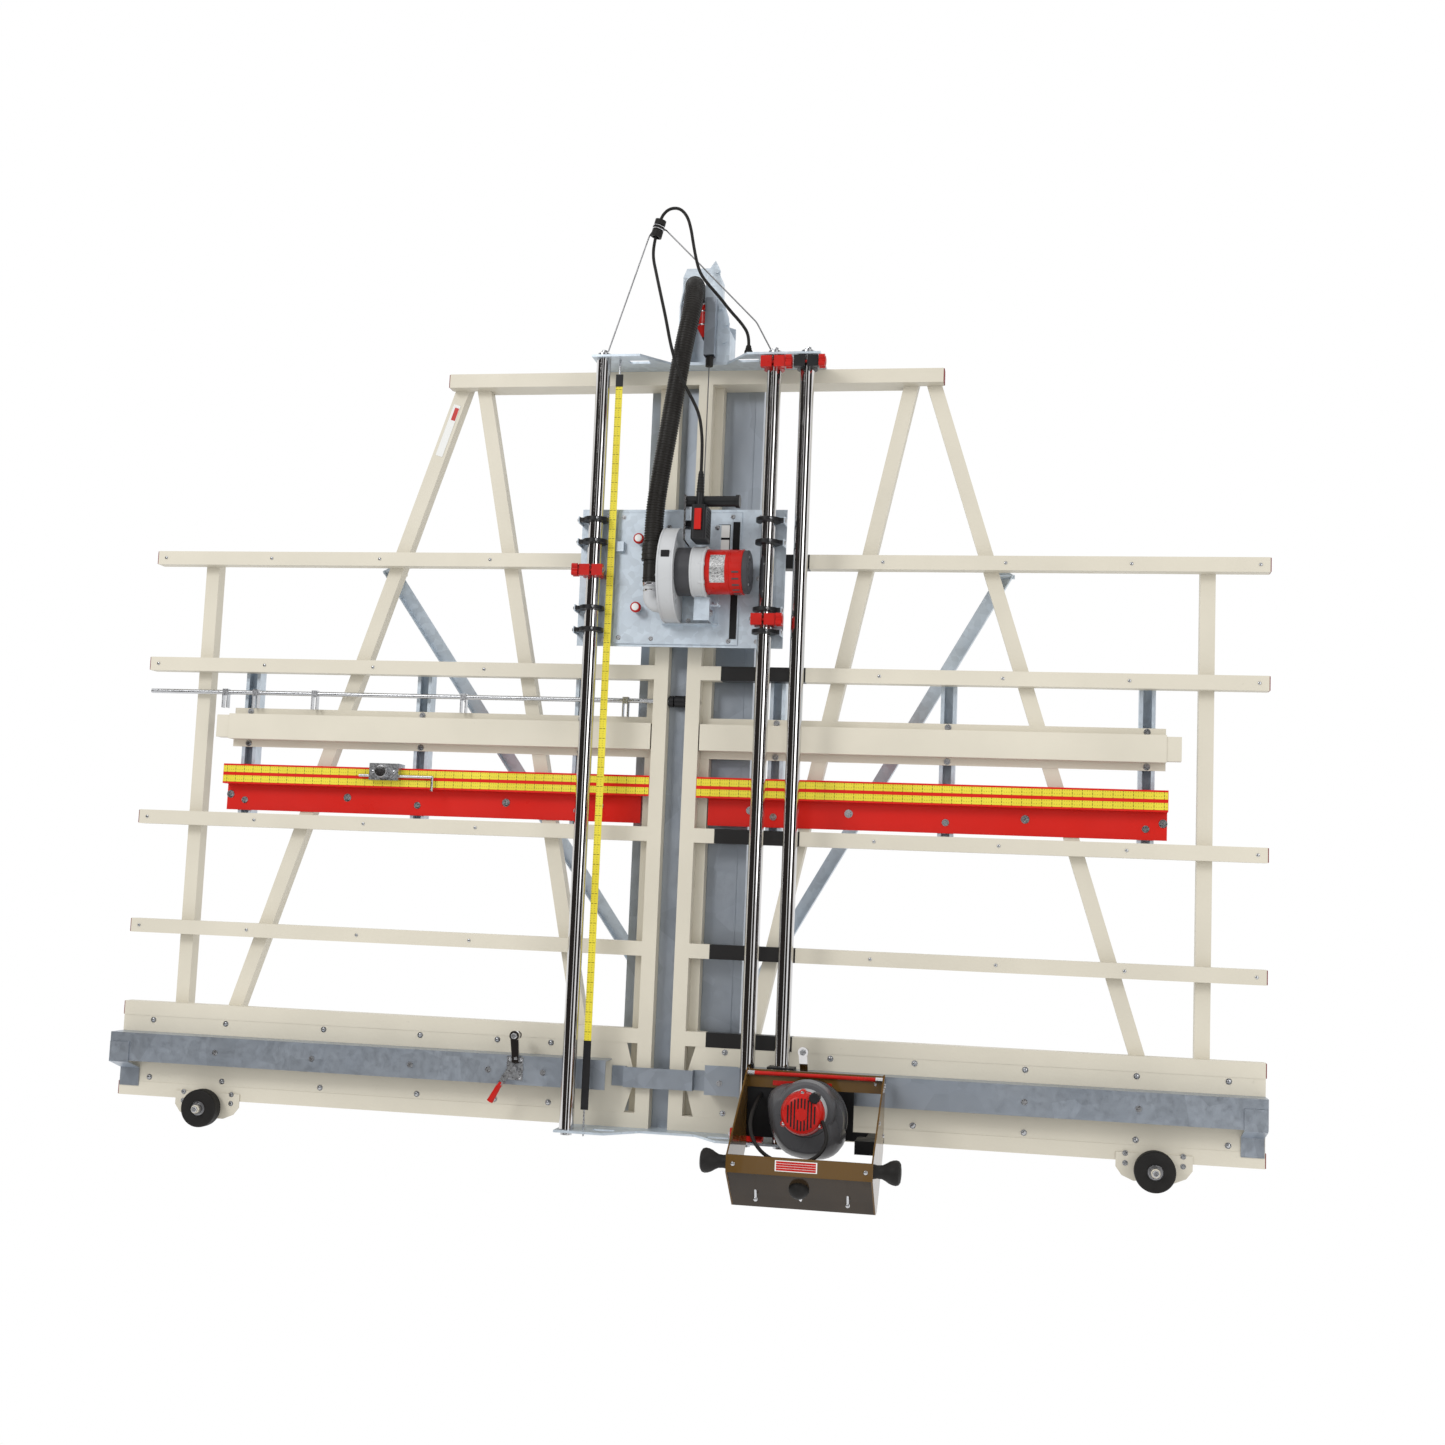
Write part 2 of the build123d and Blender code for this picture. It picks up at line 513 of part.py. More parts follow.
def cord_support():
    """Bent spring wire between the caps of two guide tubes, the grommet that it holds, and the cord's gland."""
    x, w, v = GROMMET
    behind = w + WRAP_R
    points = [(GUIDE_X["left"] + 10, GUIDE_W, TOP_BEAM_TOP + PLATE + 14), (-106, -116, 2112),
              (x - 16, behind, v + 2), (x + 16, behind, v + 1), (20, -120, 2046), (196, -116, 1868),
              (GUIDE_X["middle"] - 12, GUIDE_W, TOP_BEAM_TOP + PLATE + 14)]
    radii = [40.0, 12.0, 12.0, 60.0, 60.0]
    path = FilletPolyline(*points, radius=radii)
    first = Vector(*points[1]) - Vector(*points[0])
    wire = sweep(Plane(origin=points[0], z_dir=first) * Circle(2.0), path=path)
    wrap = Pos(x, w, v) * Rot(0, GROMMET_TILT, 0) * Torus(WRAP_R, 2.0)
    grommet = rod((0, 0, -26), (0, 0, -8), 15) + rod((0, 0, -8), (0, 0, 8), 12) + rod((0, 0, 8), (0, 0, 22), 15)
    grommet = Pos(*GROMMET) * Rot(0, GROMMET_TILT, 0) * (grommet - rod((0, 0, -40), (0, 0, 40), 10.0))
    gland_x, gland_w, gland_top = CORD_EXIT
    gland_foot, gland_neck = gland_top - GLAND_HEIGHT, gland_top - GLAND_HEIGHT + 8
    gland = rod((gland_x, gland_w, gland_foot), (gland_x, gland_w, gland_neck), 11)
    gland += cone((gland_x, gland_w, gland_neck), (gland_x, gland_w, gland_top), 9, 5.5)
    return [wire + wrap, grommet, gland]


# ---------------------------------------------------------------- wheels, clamps, stops

def wheel_brackets():
    shapes = []
    for side in (-1, 1):
        x = side * WHEEL_X
        plate = front_plate([(x - 93, BEAM_BOTTOM + 20), (x - 93, -272), (x - 78, -292), (x - 50, -304),
                             (x + 50, -304), (x + 78, -292), (x + 93, -272), (x + 93, BEAM_BOTTOM + 20)],
                            -4.2, -0.2)
        axle = rod((x, -70, WHEEL_V), (x, -4, WHEEL_V), 6.0)
        head = rod((x, -73, WHEEL_V), (x, -67, WHEEL_V), 11.0)
        spacer = rod((x, -17.5, WHEEL_V), (x, -4, WHEEL_V), 10.0)
        shapes.append(plate + axle + head + spacer)
    return shapes


def wheel(side):
    x = side * WHEEL_X
    tyre = rod((x, -57, WHEEL_V), (x, -19, WHEEL_V), WHEEL_R)
    tyre = fillet(tyre.edges().filter_by(GeomType.CIRCLE), 5)
    tyre -= rod((x, -60, WHEEL_V), (x, -52, WHEEL_V), 20)
    tyre += rod((x, -66, WHEEL_V), (x, -50, WHEEL_V), 14)
    return [tyre - rod((x, -80, WHEEL_V), (x, 0, WHEEL_V), 6.05)]


CLAMP_X = {"left": -373.0, "right": 387.0}
CLAMP_PIVOT_V, ARM_PIVOT_V = -112.0, -88.0


def clamp_bases():
    """Riveted bases of the two toggle clamps, on the front of the strips."""
    shapes = []
    for x in CLAMP_X.values():
        base = block(x - 22, x + 22, STRIP_FRONT - 3, STRIP_FRONT, -145, -84)
        cheek = front_plate([(x - 14, -140), (x + 14, -140), (x + 12, -84), (x - 8, -84)],
                            STRIP_FRONT - 6.2, STRIP_FRONT - 3)
        pins = rod((x, STRIP_FRONT - 20.5, CLAMP_PIVOT_V), (x, STRIP_FRONT - 3, CLAMP_PIVOT_V), 4.0)
        pins += rod((x + 4, STRIP_FRONT - 16, ARM_PIVOT_V), (x + 4, STRIP_FRONT - 3, ARM_PIVOT_V), 4.0)
        shapes.append(base + cheek + pins)
    return shapes


def clamp_handle(side):
    """Toggle lever with a red grip; it turns about the lower pin."""
    x = CLAMP_X[side]
    w0, w1 = STRIP_FRONT - 18.5, STRIP_FRONT - 15
    lever = front_plate([(x - 9, -104), (x + 9, -104), (x + 7, -122), (x - 30, -158), (x - 40, -150)], w0, w1)
    lever -= rod((x, w0 - 5, CLAMP_PIVOT_V), (x, w1 + 5, CLAMP_PIVOT_V), 4.05)
    grip = cone((x - 32, STRIP_FRONT - 13, -150), (x - 60, STRIP_FRONT - 13, -202), 6.5, 8.5)
    return [lever + grip]


def clamp_arm(side):
    """U-shaped clamping arm with its spindle and pad; it turns about the upper pin."""
    x = CLAMP_X[side] + 4
    w0, w1 = STRIP_FRONT - 13.5, STRIP_FRONT - 7
    arm = front_plate([(x - 9, -100), (x + 9, -100), (x + 5, -40), (x - 17, -40)], w0, w1)
    arm -= rod((x, w0 - 5, ARM_PIVOT_V), (x, w1 + 5, ARM_PIVOT_V), 4.05)
    boss = rod((x - 6, w0 - 4, -30), (x - 6, w1 + 1, -30), 13)
    pad = rod((x - 6, w1 + 1, -30), (x - 6, w1 + 20, -30), 5) + rod((x - 6, w1 + 20, -30), (x - 6, w1 + 27, -30), 9)
    return [arm + boss + pad]


FINGERS = (-1301.0, -1211.0, -1035.0, -602.0, -146.0)


def stop_rod():
    """Long rod behind the rail line with folded stop fingers; it rolls to swing them forward."""
    bar = rod((-1523, ROD_W, ROD_V), (48, ROD_W, ROD_V), ROD_R)
    for x in FINGERS:
        finger = block(x - 4, x + 12, ROD_W - 9, ROD_W + 9, ROD_V - 9, ROD_V + 9)
        finger += block(x - 4, x - 1.5, ROD_W - 9, ROD_W + 9, ROD_V - 44, ROD_V - 8)
        finger += block(x + 9.5, x + 12, ROD_W - 9, ROD_W + 9, ROD_V - 44, ROD_V - 8)
        bar += finger
    bar += rod((-22, ROD_W, ROD_V), (-10, ROD_W, ROD_V), 15) + rod((-6, ROD_W, ROD_V), (22, ROD_W, ROD_V), 16)
    return [bar]


FLIP_X = -805.0


def flip_stop():
    """Sliding stop on the left fence: a clamp block that hooks over the fence, and a bent rod."""
    block_ = block(FLIP_X - 38, FLIP_X + 46, -24, -1.2, 632, 678)
    block_ += block(FLIP_X - 38, FLIP_X + 46, -1.2, 24, 668.0, 678)
    block_ -= rod((FLIP_X - 80, -14, 644), (FLIP_X + 60, -14, 644), 4.05)
    block_ -= rod((FLIP_X, -30, 656), (FLIP_X, -8, 656), 4.05)
    bar = rod((FLIP_X - 70, -14, 644), (FLIP_X + 140, -14, 644), 4.0)
    bar += rod((FLIP_X + 140, -14, 644.0), (FLIP_X + 140, -14, 606), 4.0)
    bar += Pos(FLIP_X + 140, -14, 644) * Sphere(4.0)
    return [block_ + bar]


def flip_stop_knob():
    knob = rod((FLIP_X, -38, 656), (FLIP_X, -24.2, 656), 18)
    return [knob + rod((FLIP_X, -24.2, 656), (FLIP_X, -10, 656), 4.0)]


def rear_stand():
    """Two angle legs that meet at a foot behind the machine, swung from the outer braces."""
    meet = STAND_X / STAND_SPREAD
    foot_v = STAND_V - meet
    foot_w = STAND_W + STAND_BACK * meet
    down = Vector(-STAND_SPREAD, STAND_BACK, -1).normalized()
    top = Vector(STAND_X, STAND_W, STAND_V) - down * 16
    length = (Vector(30, foot_w - 20, foot_v + 52) - top).length
    plane = Plane(origin=top, x_dir=(1, 0, -STAND_SPREAD), z_dir=down)
    angle = Polyline((-19, -2), (19, -2), (19, 22), (16.5, 22), (16.5, 0.5), (-19, 0.5), close=True)
    leg = extrude(plane * make_face(angle), amount=length)
    legs = both_sides(leg)
    lean = math.radians(LEAN)
    foot_height = (foot_v + 70) * math.cos(lean) - foot_w * math.sin(lean) + FLOOR_DROP
    upright = Plane(origin=(0, foot_w, foot_v + 70), x_dir=(1, 0, 0), z_dir=(0, math.sin(lean), -math.cos(lean)))
    shoe = upright * Box(130, 60, foot_height - 14, align=(Align.CENTER, Align.CENTER, Align.MIN))
    shoe -= upright * Box(118, 52, foot_height - 20, align=(Align.CENTER, Align.CENTER, Align.MIN))
    pad = upright * Pos(0, 0, foot_height - 14) * Box(150, 80, 14, align=(Align.CENTER, Align.CENTER, Align.MIN))
    pivot = rod((LUG_X - 6, STAND_W, STAND_V), (STAND_X + 26, STAND_W, STAND_V), 6)
    return [legs[0] + legs[1] + shoe + pad + pivot + mirror(pivot, Plane.YZ)]


# ---------------------------------------------------------------- saw

def saw_carriage_plate():
    """Plate that rides on two guide tubes, with a round window for the turntable."""
    (x0, x1), (v0, v1) = CARRIAGE_X, CARRIAGE_V
    front = CARRIAGE_BACK - 2.5
    plate = block(x0, x1, front, CARRIAGE_BACK, v0, v1)
    plate -= rod((0, front - 5, SAW_V), (0, 0, SAW_V), 118)
    for x in (x0, x1 - 3):
        for v in RING_LEVELS:
            plate += block(x, x + 3, -119, front, v - 9, v + 9)
    plate += block(CABLE_X - 7, CABLE_X + 7, CARRIAGE_BACK, CARRIAGE_BACK + 8, v1 - 22, v1)
    for x, v in INDEX_PINS:
        for hole_x, hole_v in ((x, v), (SAW_V - v, SAW_V + x)):
            plate -= rod((hole_x, front - 5, hole_v), (hole_x, 0, hole_v), 5.0)
    return [plate]


def bearing_rings():
    """Black C-shaped bearing blocks that hold the guide tubes."""
    rings = []
    for x, edge in ((GUIDE_X["left"], CARRIAGE_X[0] + 3), (GUIDE_X["middle"], CARRIAGE_X[1] - 3)):
        for v in RING_LEVELS:
            ring = rod((x, GUIDE_W, v - 5), (x, GUIDE_W, v + 5), RING_R)
            ring += block(min(x, edge), max(x, edge), -122, -104, v - 5, v + 5)
            rings.append(ring - rod((x, GUIDE_W, v - 9), (x, GUIDE_W, v + 9), GUIDE_R + 0.06))
    return rings


LOCKS = {"left": ("left", 1195.0, -1), "right": ("middle", 1069.0, 1)}


def lock_collar(name):
    tube, v, _side = LOCKS[name]
    collar = split_collar(GUIDE_X[tube], v)
    bore = rod((GUIDE_X[tube], GUIDE_W, v - 30), (GUIDE_X[tube], GUIDE_W, v + 30), GUIDE_R + 0.4)
    return collar - bore


def carriage_locks():
    return [lock_collar(name) for name in LOCKS]


def lock_knob(name):
    tube, v, side = LOCKS[name]
    return [collar_knob(GUIDE_X[tube], v, side)]


def turntable_plate():
    """Square plate that turns the saw a quarter turn on the carriage."""
    (x0, x1), (v0, v1) = TURN_X, TURN_V
    back = CARRIAGE_BACK - 2.8
    plate = block(x0, x1, TURN_FRONT, back, v0, v1)
    plate += rod((0, back, SAW_V), (0, CARRIAGE_BACK, SAW_V), 117.7)
    plate -= block(-24, 24, -90, -60, SAW_V - 112, SAW_V + 112)
    for x, v in INDEX_PINS:
        plate -= rod((x, -90, v), (x, -60, v), 4.05)
    rim = block(x0, x1, TURN_FRONT - 1, TURN_FRONT, v1 - 2, v1) + block(x0, x1, TURN_FRONT - 1, TURN_FRONT, v0, v0 + 2)
    slot_cover = block(150, 168, TURN_FRONT - 2.5, TURN_FRONT, 1026, 1338)
    pointer = block(x0 + 1, x0 + 22, TURN_FRONT - 14, TURN_FRONT, 1256, 1282)
    return [plate + rim + slot_cover + pointer]


def saw_bracket():
    """Saw foot: base plate, folded lower flange, gusset, depth bolt."""
    foot = block(-30, 118, FOOT_FRONT, TURN_FRONT, 1064, 1330)
    foot -= block(-12, 12, -90, -60, SAW_V - 108, SAW_V + 108)
    foot += block(-30, 118, FOOT_FRONT - 16, TURN_FRONT, 1061, 1064)
    gusset = side_plate([(FOOT_FRONT, 1064), (FOOT_FRONT - 60, 1064), (FOOT_FRONT - 66, 1122), (FOOT_FRONT, 1128)],
                        104, 107)
    lug = block(66, 107, FOOT_FRONT - 66, FOOT_FRONT - 63, 1064, 1124)
    wing = rod((107, -120, 1108), (132, -120, 1108), 4) + block(124, 128, -134, -106, 1104, 1112)
    return [foot + gusset + lug + wing]


def saw_motor():
    """Gear case, motor barrel and end cap about one axis along x."""
    v = SAW_V + 2
    case = rod((62, MOTOR_W, v), (100, MOTOR_W, v), 65)
    case -= rod((60, BLADE_W, SAW_V), (90, BLADE_W, SAW_V), 8.05)
    barrel = rod((100, MOTOR_W, v), (196, MOTOR_W, v), MOTOR_R)
    cap = rod((196, MOTOR_W, v), (209, MOTOR_W, v), MOTOR_R - 2)
    neck = pipe((24, MOTOR_W, v), (62, MOTOR_W, v), 63, 5)
    return [case + barrel + cap + neck]


def blade_guard():
    """Half-round cover over the blade in front of the saw foot."""
    lean_in = FOOT_FRONT - 0.5
    shell = rod((-20, BLADE_W, SAW_V), (22, BLADE_W, SAW_V), GUARD_R)
    shell -= rod((-16, BLADE_W, SAW_V), (18, BLADE_W, SAW_V), GUARD_R - 4)
    shell -= block(-60, 60, lean_in, 60, SAW_V - 200, SAW_V + 200)
    shell -= rod((10, BLADE_W, SAW_V), (30, BLADE_W, SAW_V), 11)
    shell += block(22, 24, MOTOR_W - 20, MOTOR_W + 20, SAW_V - 52, SAW_V - 30)
    return [shell]


def saw_handle():
    """Rear grip, the round bar handle and the bright arc that carries them."""
    arc = side_plate([(-130, 1256), (-214, 1262), (-222, 1378), (-176, 1378), (-160, 1330), (-128, 1300)], 44, 49)
    grip = block(66, 104, -236, -150, 1262, 1350)
    grip = fillet(grip.edges().filter_by(Axis.Z), 8)
    grip -= block(76, 94, -240, -214, 1283, 1339)
    bar = rod((49, -200, 1365), (186, -200, 1365), 14) + rod((176, -200, 1365), (186, -200, 1365), 17)
    strap = block(49, 66, -196, -160, 1300, 1316)
    relief = cone((84, -215, 1379), (84, -215, 1440), 10, 6)
    relief -= rod((84, -215, 1425), (84, -215, 1445), 4.3)
    neck = rod((84, -215, 1350), (84, -215, 1379), 10)
    return [arc + grip + bar + strap + neck + relief]


def saw_trigger():
    """Wide trigger that presses back into the grip."""
    return [block(76.4, 93.6, -242, -220, 1284, 1338)]


def saw_blade():
    blade = rod((-1.2, BLADE_W, SAW_V), (1.2, BLADE_W, SAW_V), BLADE_R)
    hub = rod((-7, BLADE_W, SAW_V), (7, BLADE_W, SAW_V), 18)
    bolt = rod((-12, BLADE_W, SAW_V), (-7, BLADE_W, SAW_V), 9)
    return [blade + hub + bolt + rod((7, BLADE_W, SAW_V), (88, BLADE_W, SAW_V), 8.0)]


def index_pins():
    """Two plungers that lock the turntable to the carriage, drawn just clear of their holes."""
    pins = []
    for x, v in INDEX_PINS:
        pin = rod((x, TURN_FRONT - 24, v), (x, -75.4, v), 4.0)
        pins.append(pin + rod((x, TURN_FRONT - 24, v), (x, TURN_FRONT - 10, v), 13))
    return pins


def dust_elbow():
    """Steel elbow from the guard up to the hose, with the two hose cuffs."""
    radius, bend = 20.0, 26.0
    x, w = ELBOW_X, ELBOW_W
    path = FilletPolyline((x, w, CUFF_BOTTOM), (x, w, 1128 - bend), (-20.2, w, 1128 - bend), radius=[23.0])
    elbow = sweep(Plane(origin=(x, w, CUFF_BOTTOM), z_dir=(0, 0, -1)) * Circle(radius), path=path)
    small = rod((x, w, CUFF_BOTTOM), (x, w, 1218), 23.0)
    large = rod((x, w, 1218), (x, w, CUFF_TOP), 28.0)
    return [elbow + small + large]


# ---------------------------------------------------------------- router

def router_carriage():
    """Sleeve on the right guide tube, with the carrier plate, standoffs and lever bracket."""
    x = GUIDE_X["right"]
    sleeve = block(303, 370, -146, -88, -232, -66) - rod((x, GUIDE_W, -260), (x, GUIDE_W, 0), GUIDE_R + 0.06)
    plate = block(370, 520, -104, -96, -240, -80)
    plate += block(520, 598, -104, -96, -98, -82) + block(520, 598, -104, -96, -240, -218)
    plate -= rod((ROUTER_X, -120, ROUTER_V), (ROUTER_X, 0, ROUTER_V), 32)
    for v in (-90, -226):
        plate += block(560, 598, -176, -104, v - 8, v + 8)
        plate += block(303, 330, -168, -146, v - 6, v + 6)
    shield_tab = block(262.4, 330, -176, -168, -234, -84)
    bracket = block(540, 590, -260, -176, -250, -218)
    bracket -= rod((530, *LEVER_PIVOT), (600, *LEVER_PIVOT), 5.05)
    return [sleeve + plate + bracket, shield_tab]


def router_base():
    """Router base: a housing on three posts from the carrier, bored for the motor."""
    x, v = ROUTER_X, ROUTER_V
    base = rod((x, -262, v - 28), (x, -186, v - 28), 88) + rod((x, -200, v - 28), (x, -186, v - 28), 92)
    for post_x, post_v in ((x - 44, v - 47), (x + 44, v - 47), (x + 66, v)):
        base += rod((post_x, -186, post_v), (post_x, -104, post_v), 8)
    return [base - rod((x, -300, v), (x, -100, v), MOTOR_BORE)]


def router_motor():
    """Motor that slides in the base: barrel, vented cap, switch knob and nose."""
    x, v = ROUTER_X, ROUTER_V
    motor = rod((x, -345, v), (x, -232, v), MOTOR_BORE - 0.06)
    cap = cone((x, -345, v), (x, -374, v), 50, 44)
    knob = rod((x + 30, -378, v + 40), (x + 30, -345, v + 40), 12)
    nose = rod((x, -232, v), (x, -122, v), 27) - rod((x, -142, v), (x, -110, v), 12.05)
    return [motor + cap + knob + nose]


ROUTER_CORD_R = 4.5
ROUTER_CORD_ROUTE = [
    (472, -364, -164), (486, -382, -184), (487, -400, -214), (468, -410, -242), (430, -413, -259),
    (385, -413, -260), (343, -409, -244), (315, -398, -216), (301, -370, -188), (296, -324, -163),
    (296, -250, -141), (296, -178, -130),
]


def router_cord():
    """Short cord that loops in front of the router and goes back to the plate behind the shield."""
    return [routed_tube(ROUTER_CORD_ROUTE, ROUTER_CORD_R)]


def router_collet():
    x, v = ROUTER_X, ROUTER_V
    return [rod((x, -140, v), (x, -108, v), 12.0) + rod((x, -108, v), (x, -76, v), 5.0)]


SHIELD_SIDE = [(-166, -66), (-180, -66), (-440, -243), (-440, -284), (-332, -376), (-300, -376), (-166, -250)]


def router_shield():
    """Amber shield: two side sheets joined by bands at the top, the front and the bottom."""
    x0, x1 = SHIELD_X
    left, right = side_plate(SHIELD_SIDE, x0, x0 + 4), side_plate(SHIELD_SIDE, x1 - 4, x1)
    top = block(x0 + 4, x1 - 4, -180, -176.2, -112, -68.5)
    front = block(x0 + 4, x1 - 4, -440, -436, -284, -243)
    low = block(x0 + 4, x1 - 4, -332, -328, -376, -350) + block(x0 + 4, x1 - 4, -332, -290, -376, -372)
    return [left, right, top, front, low]


def shield_handles():
    """Black mushroom handles at the sides, the round knob below, and the red tie rod."""
    shapes = []
    for edge, side in ((SHIELD_X[0], -1), (SHIELD_X[1], 1)):
        neck = cone((edge, -420, -263), (edge + side * 30, -420, -263), 13, 11)
        head = cone((edge + side * 30, -420, -263), (edge + side * 52, -420, -263), 11, 29)
        head += cone((edge + side * 52, -420, -263), (edge + side * 60, -420, -263), 29, 22)
        shapes.append(neck + head)
    ball = Pos(ROUTER_X + 4, -398, -318) * Sphere(24)
    ball += rod((ROUTER_X + 4, -398, -318), (ROUTER_X + 4, -339, -357), 7)
    shapes.append(ball)
    shapes.append(rod((SHIELD_X[0] + 4, -188, -77), (SHIELD_X[1] - 4, -188, -77), 5.0))
    return shapes


def plunge_lever():
    """Crank at the right of the router that feeds it in and out."""
    w, v = LEVER_PIVOT
    arm = side_plate([(w - 10, v + 12), (w + 10, v + 8), (w - 52, v - 82), (w - 64, v - 76)], 591, 594.5)
    shaft = rod((545, w, v), (594.5, w, v), 5.0)
    knob = rod((566, w - 52, v - 72), (591, w - 52, v - 72), 12)
    return [arm + shaft + knob]


# ---------------------------------------------------------------- writing

def lean_back(shape):
    lean = Pos(0, DEPTH_SHIFT, FLOOR_DROP) * Rot(-LEAN, 0, 0)
    return lean * shape


NODES = {
    "frame_rails": frame_rails(), "rail_end_caps": rail_end_caps(),
    "router_track_inserts": router_track_inserts(), "frame_uprights": frame_uprights(),
    "centre_posts": centre_posts(), "dust_column": dust_column(),
    "lower_beam": lower_beam(), "fence_strips": fence_strips(), "hat_beams": hat_beams(),
    "fence_struts": fence_struts(), "mid_fence": mid_fence(), "measuring_tapes": measuring_tapes(),
    "frame_bolts": frame_bolts(), "guide_tubes": guide_tubes(), "tube_plates": tube_plates(),
    "tube_stops": tube_stops(), "tower_bracket": tower_bracket(), "cable_balancer": cable_balancer(),
    "balancer_drum": balancer_drum(), "saw_cable": saw_cable(), "dust_hose": dust_hose(),
    "power_cord": power_cord(), "cord_support": cord_support(), "router_cord": router_cord(),
    "wheel_brackets": wheel_brackets(), "left_wheel": wheel(-1), "right_wheel": wheel(1),
    "clamp_bases": clamp_bases(), "stop_rod": stop_rod(), "flip_stop": flip_stop(),
    "flip_stop_knob": flip_stop_knob(), "rear_stand": rear_stand(),
    "saw_carriage_plate": saw_carriage_plate(), "bearing_rings": bearing_rings(),
    "carriage_locks": carriage_locks(), "turntable_plate": turntable_plate(),
    "saw_bracket": saw_bracket(), "saw_motor": saw_motor(), "blade_guard": blade_guard(),
    "saw_handle": saw_handle(), "saw_trigger": saw_trigger(), "saw_blade": saw_blade(),
    "index_pins": index_pins(), "dust_elbow": dust_elbow(), "router_carriage": router_carriage(),
    "router_base": router_base(), "router_motor": router_motor(), "router_collet": router_collet(),
    "router_shield": router_shield(),
    "shield_handles": shield_handles(), "plunge_lever": plunge_lever(),
}
for stop_name in STOPS:
    NODES[f"stop_knob_{stop_name}"] = stop_knob(stop_name)
for lock_name in LOCKS:
    NODES[f"lock_knob_{lock_name}"] = lock_knob(lock_name)
for clamp_name in CLAMP_X:
    NODES[f"{clamp_name}_clamp_handle"] = clamp_handle(clamp_name)
    NODES[f"{clamp_name}_clamp_arm"] = clamp_arm(clamp_name)

os.makedirs("parts", exist_ok=True)
for node, solids in NODES.items():
    placed = [lean_back(solid) for solid in solids]
    shape = placed[0] if len(placed) == 1 else Compound(children=placed)
    export_step(shape, f"parts/{node}.step")
print(len(NODES), "nodes")
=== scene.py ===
import math

import bmesh
import bpy
from mathutils import Matrix, Vector


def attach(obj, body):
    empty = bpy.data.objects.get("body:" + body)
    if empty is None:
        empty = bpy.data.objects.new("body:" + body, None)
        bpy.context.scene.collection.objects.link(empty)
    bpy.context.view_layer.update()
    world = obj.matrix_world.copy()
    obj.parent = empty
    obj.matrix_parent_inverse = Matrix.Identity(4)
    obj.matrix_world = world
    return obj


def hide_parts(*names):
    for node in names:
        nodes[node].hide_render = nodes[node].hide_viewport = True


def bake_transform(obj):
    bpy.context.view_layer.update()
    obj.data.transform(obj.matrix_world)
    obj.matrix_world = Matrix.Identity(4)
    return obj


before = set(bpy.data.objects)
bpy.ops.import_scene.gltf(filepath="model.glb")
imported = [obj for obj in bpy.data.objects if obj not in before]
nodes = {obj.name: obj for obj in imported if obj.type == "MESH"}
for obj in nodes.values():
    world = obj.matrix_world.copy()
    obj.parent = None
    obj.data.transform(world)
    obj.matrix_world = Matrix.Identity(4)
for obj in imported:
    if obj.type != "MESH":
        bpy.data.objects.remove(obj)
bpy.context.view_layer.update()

# The machine is laid out as in its model: x along it, w back through it, v up it, in
# millimetres, before the whole frame is leaned back.
LEAN = math.radians(12.0)
DEPTH_SHIFT, FLOOR_DROP = -83.06, 312.03
MM = 0.001

X_AXIS = Vector((1, 0, 0))
BACK = Vector((0, math.cos(LEAN), -math.sin(LEAN)))
UP = Vector((0, math.sin(LEAN), math.cos(LEAN)))
ORIGIN = Vector((0, DEPTH_SHIFT, FLOOR_DROP)) * MM
PLACE = Matrix.Translation(ORIGIN) @ Matrix.Rotation(-LEAN, 4, "X") @ Matrix.Scale(MM, 4)
LAYOUT = PLACE.inverted()


def at(x, w, v):
    """A point of the layout in the row frame, in metres."""
    return PLACE @ Vector((x, w, v))


# ---------------------------------------------------------------- camera

CAMERA_PLACE = at(943.86, -4498.43, 349.65)
CAMERA_FORWARD = (-0.17758, 0.97891, 0.10099)      # x, w, v
CAMERA_UP = (-0.02272, -0.10667, 0.99403)
LENS, SENSOR = 43.1003, 36.0                       # mm


def along_frame(shares):
    """The unit vector made of these shares of x, w and v."""
    return sum((axis * share for axis, share in zip((X_AXIS, BACK, UP), shares)), Vector()).normalized()


def make_camera():
    data = bpy.data.cameras.new("camera")
    data.sensor_width = SENSOR
    data.lens = LENS
    data.clip_end = 60
    camera = bpy.data.objects.new("camera", data)
    bpy.context.collection.objects.link(camera)
    ahead = along_frame(CAMERA_FORWARD)
    side = ahead.cross(along_frame(CAMERA_UP)).normalized()
    turn = Matrix((side, side.cross(ahead), -ahead)).transposed().to_4x4()
    camera.matrix_world = Matrix.Translation(CAMERA_PLACE) @ turn
    bpy.context.scene.camera = camera


make_camera()


# ---------------------------------------------------------------- cords

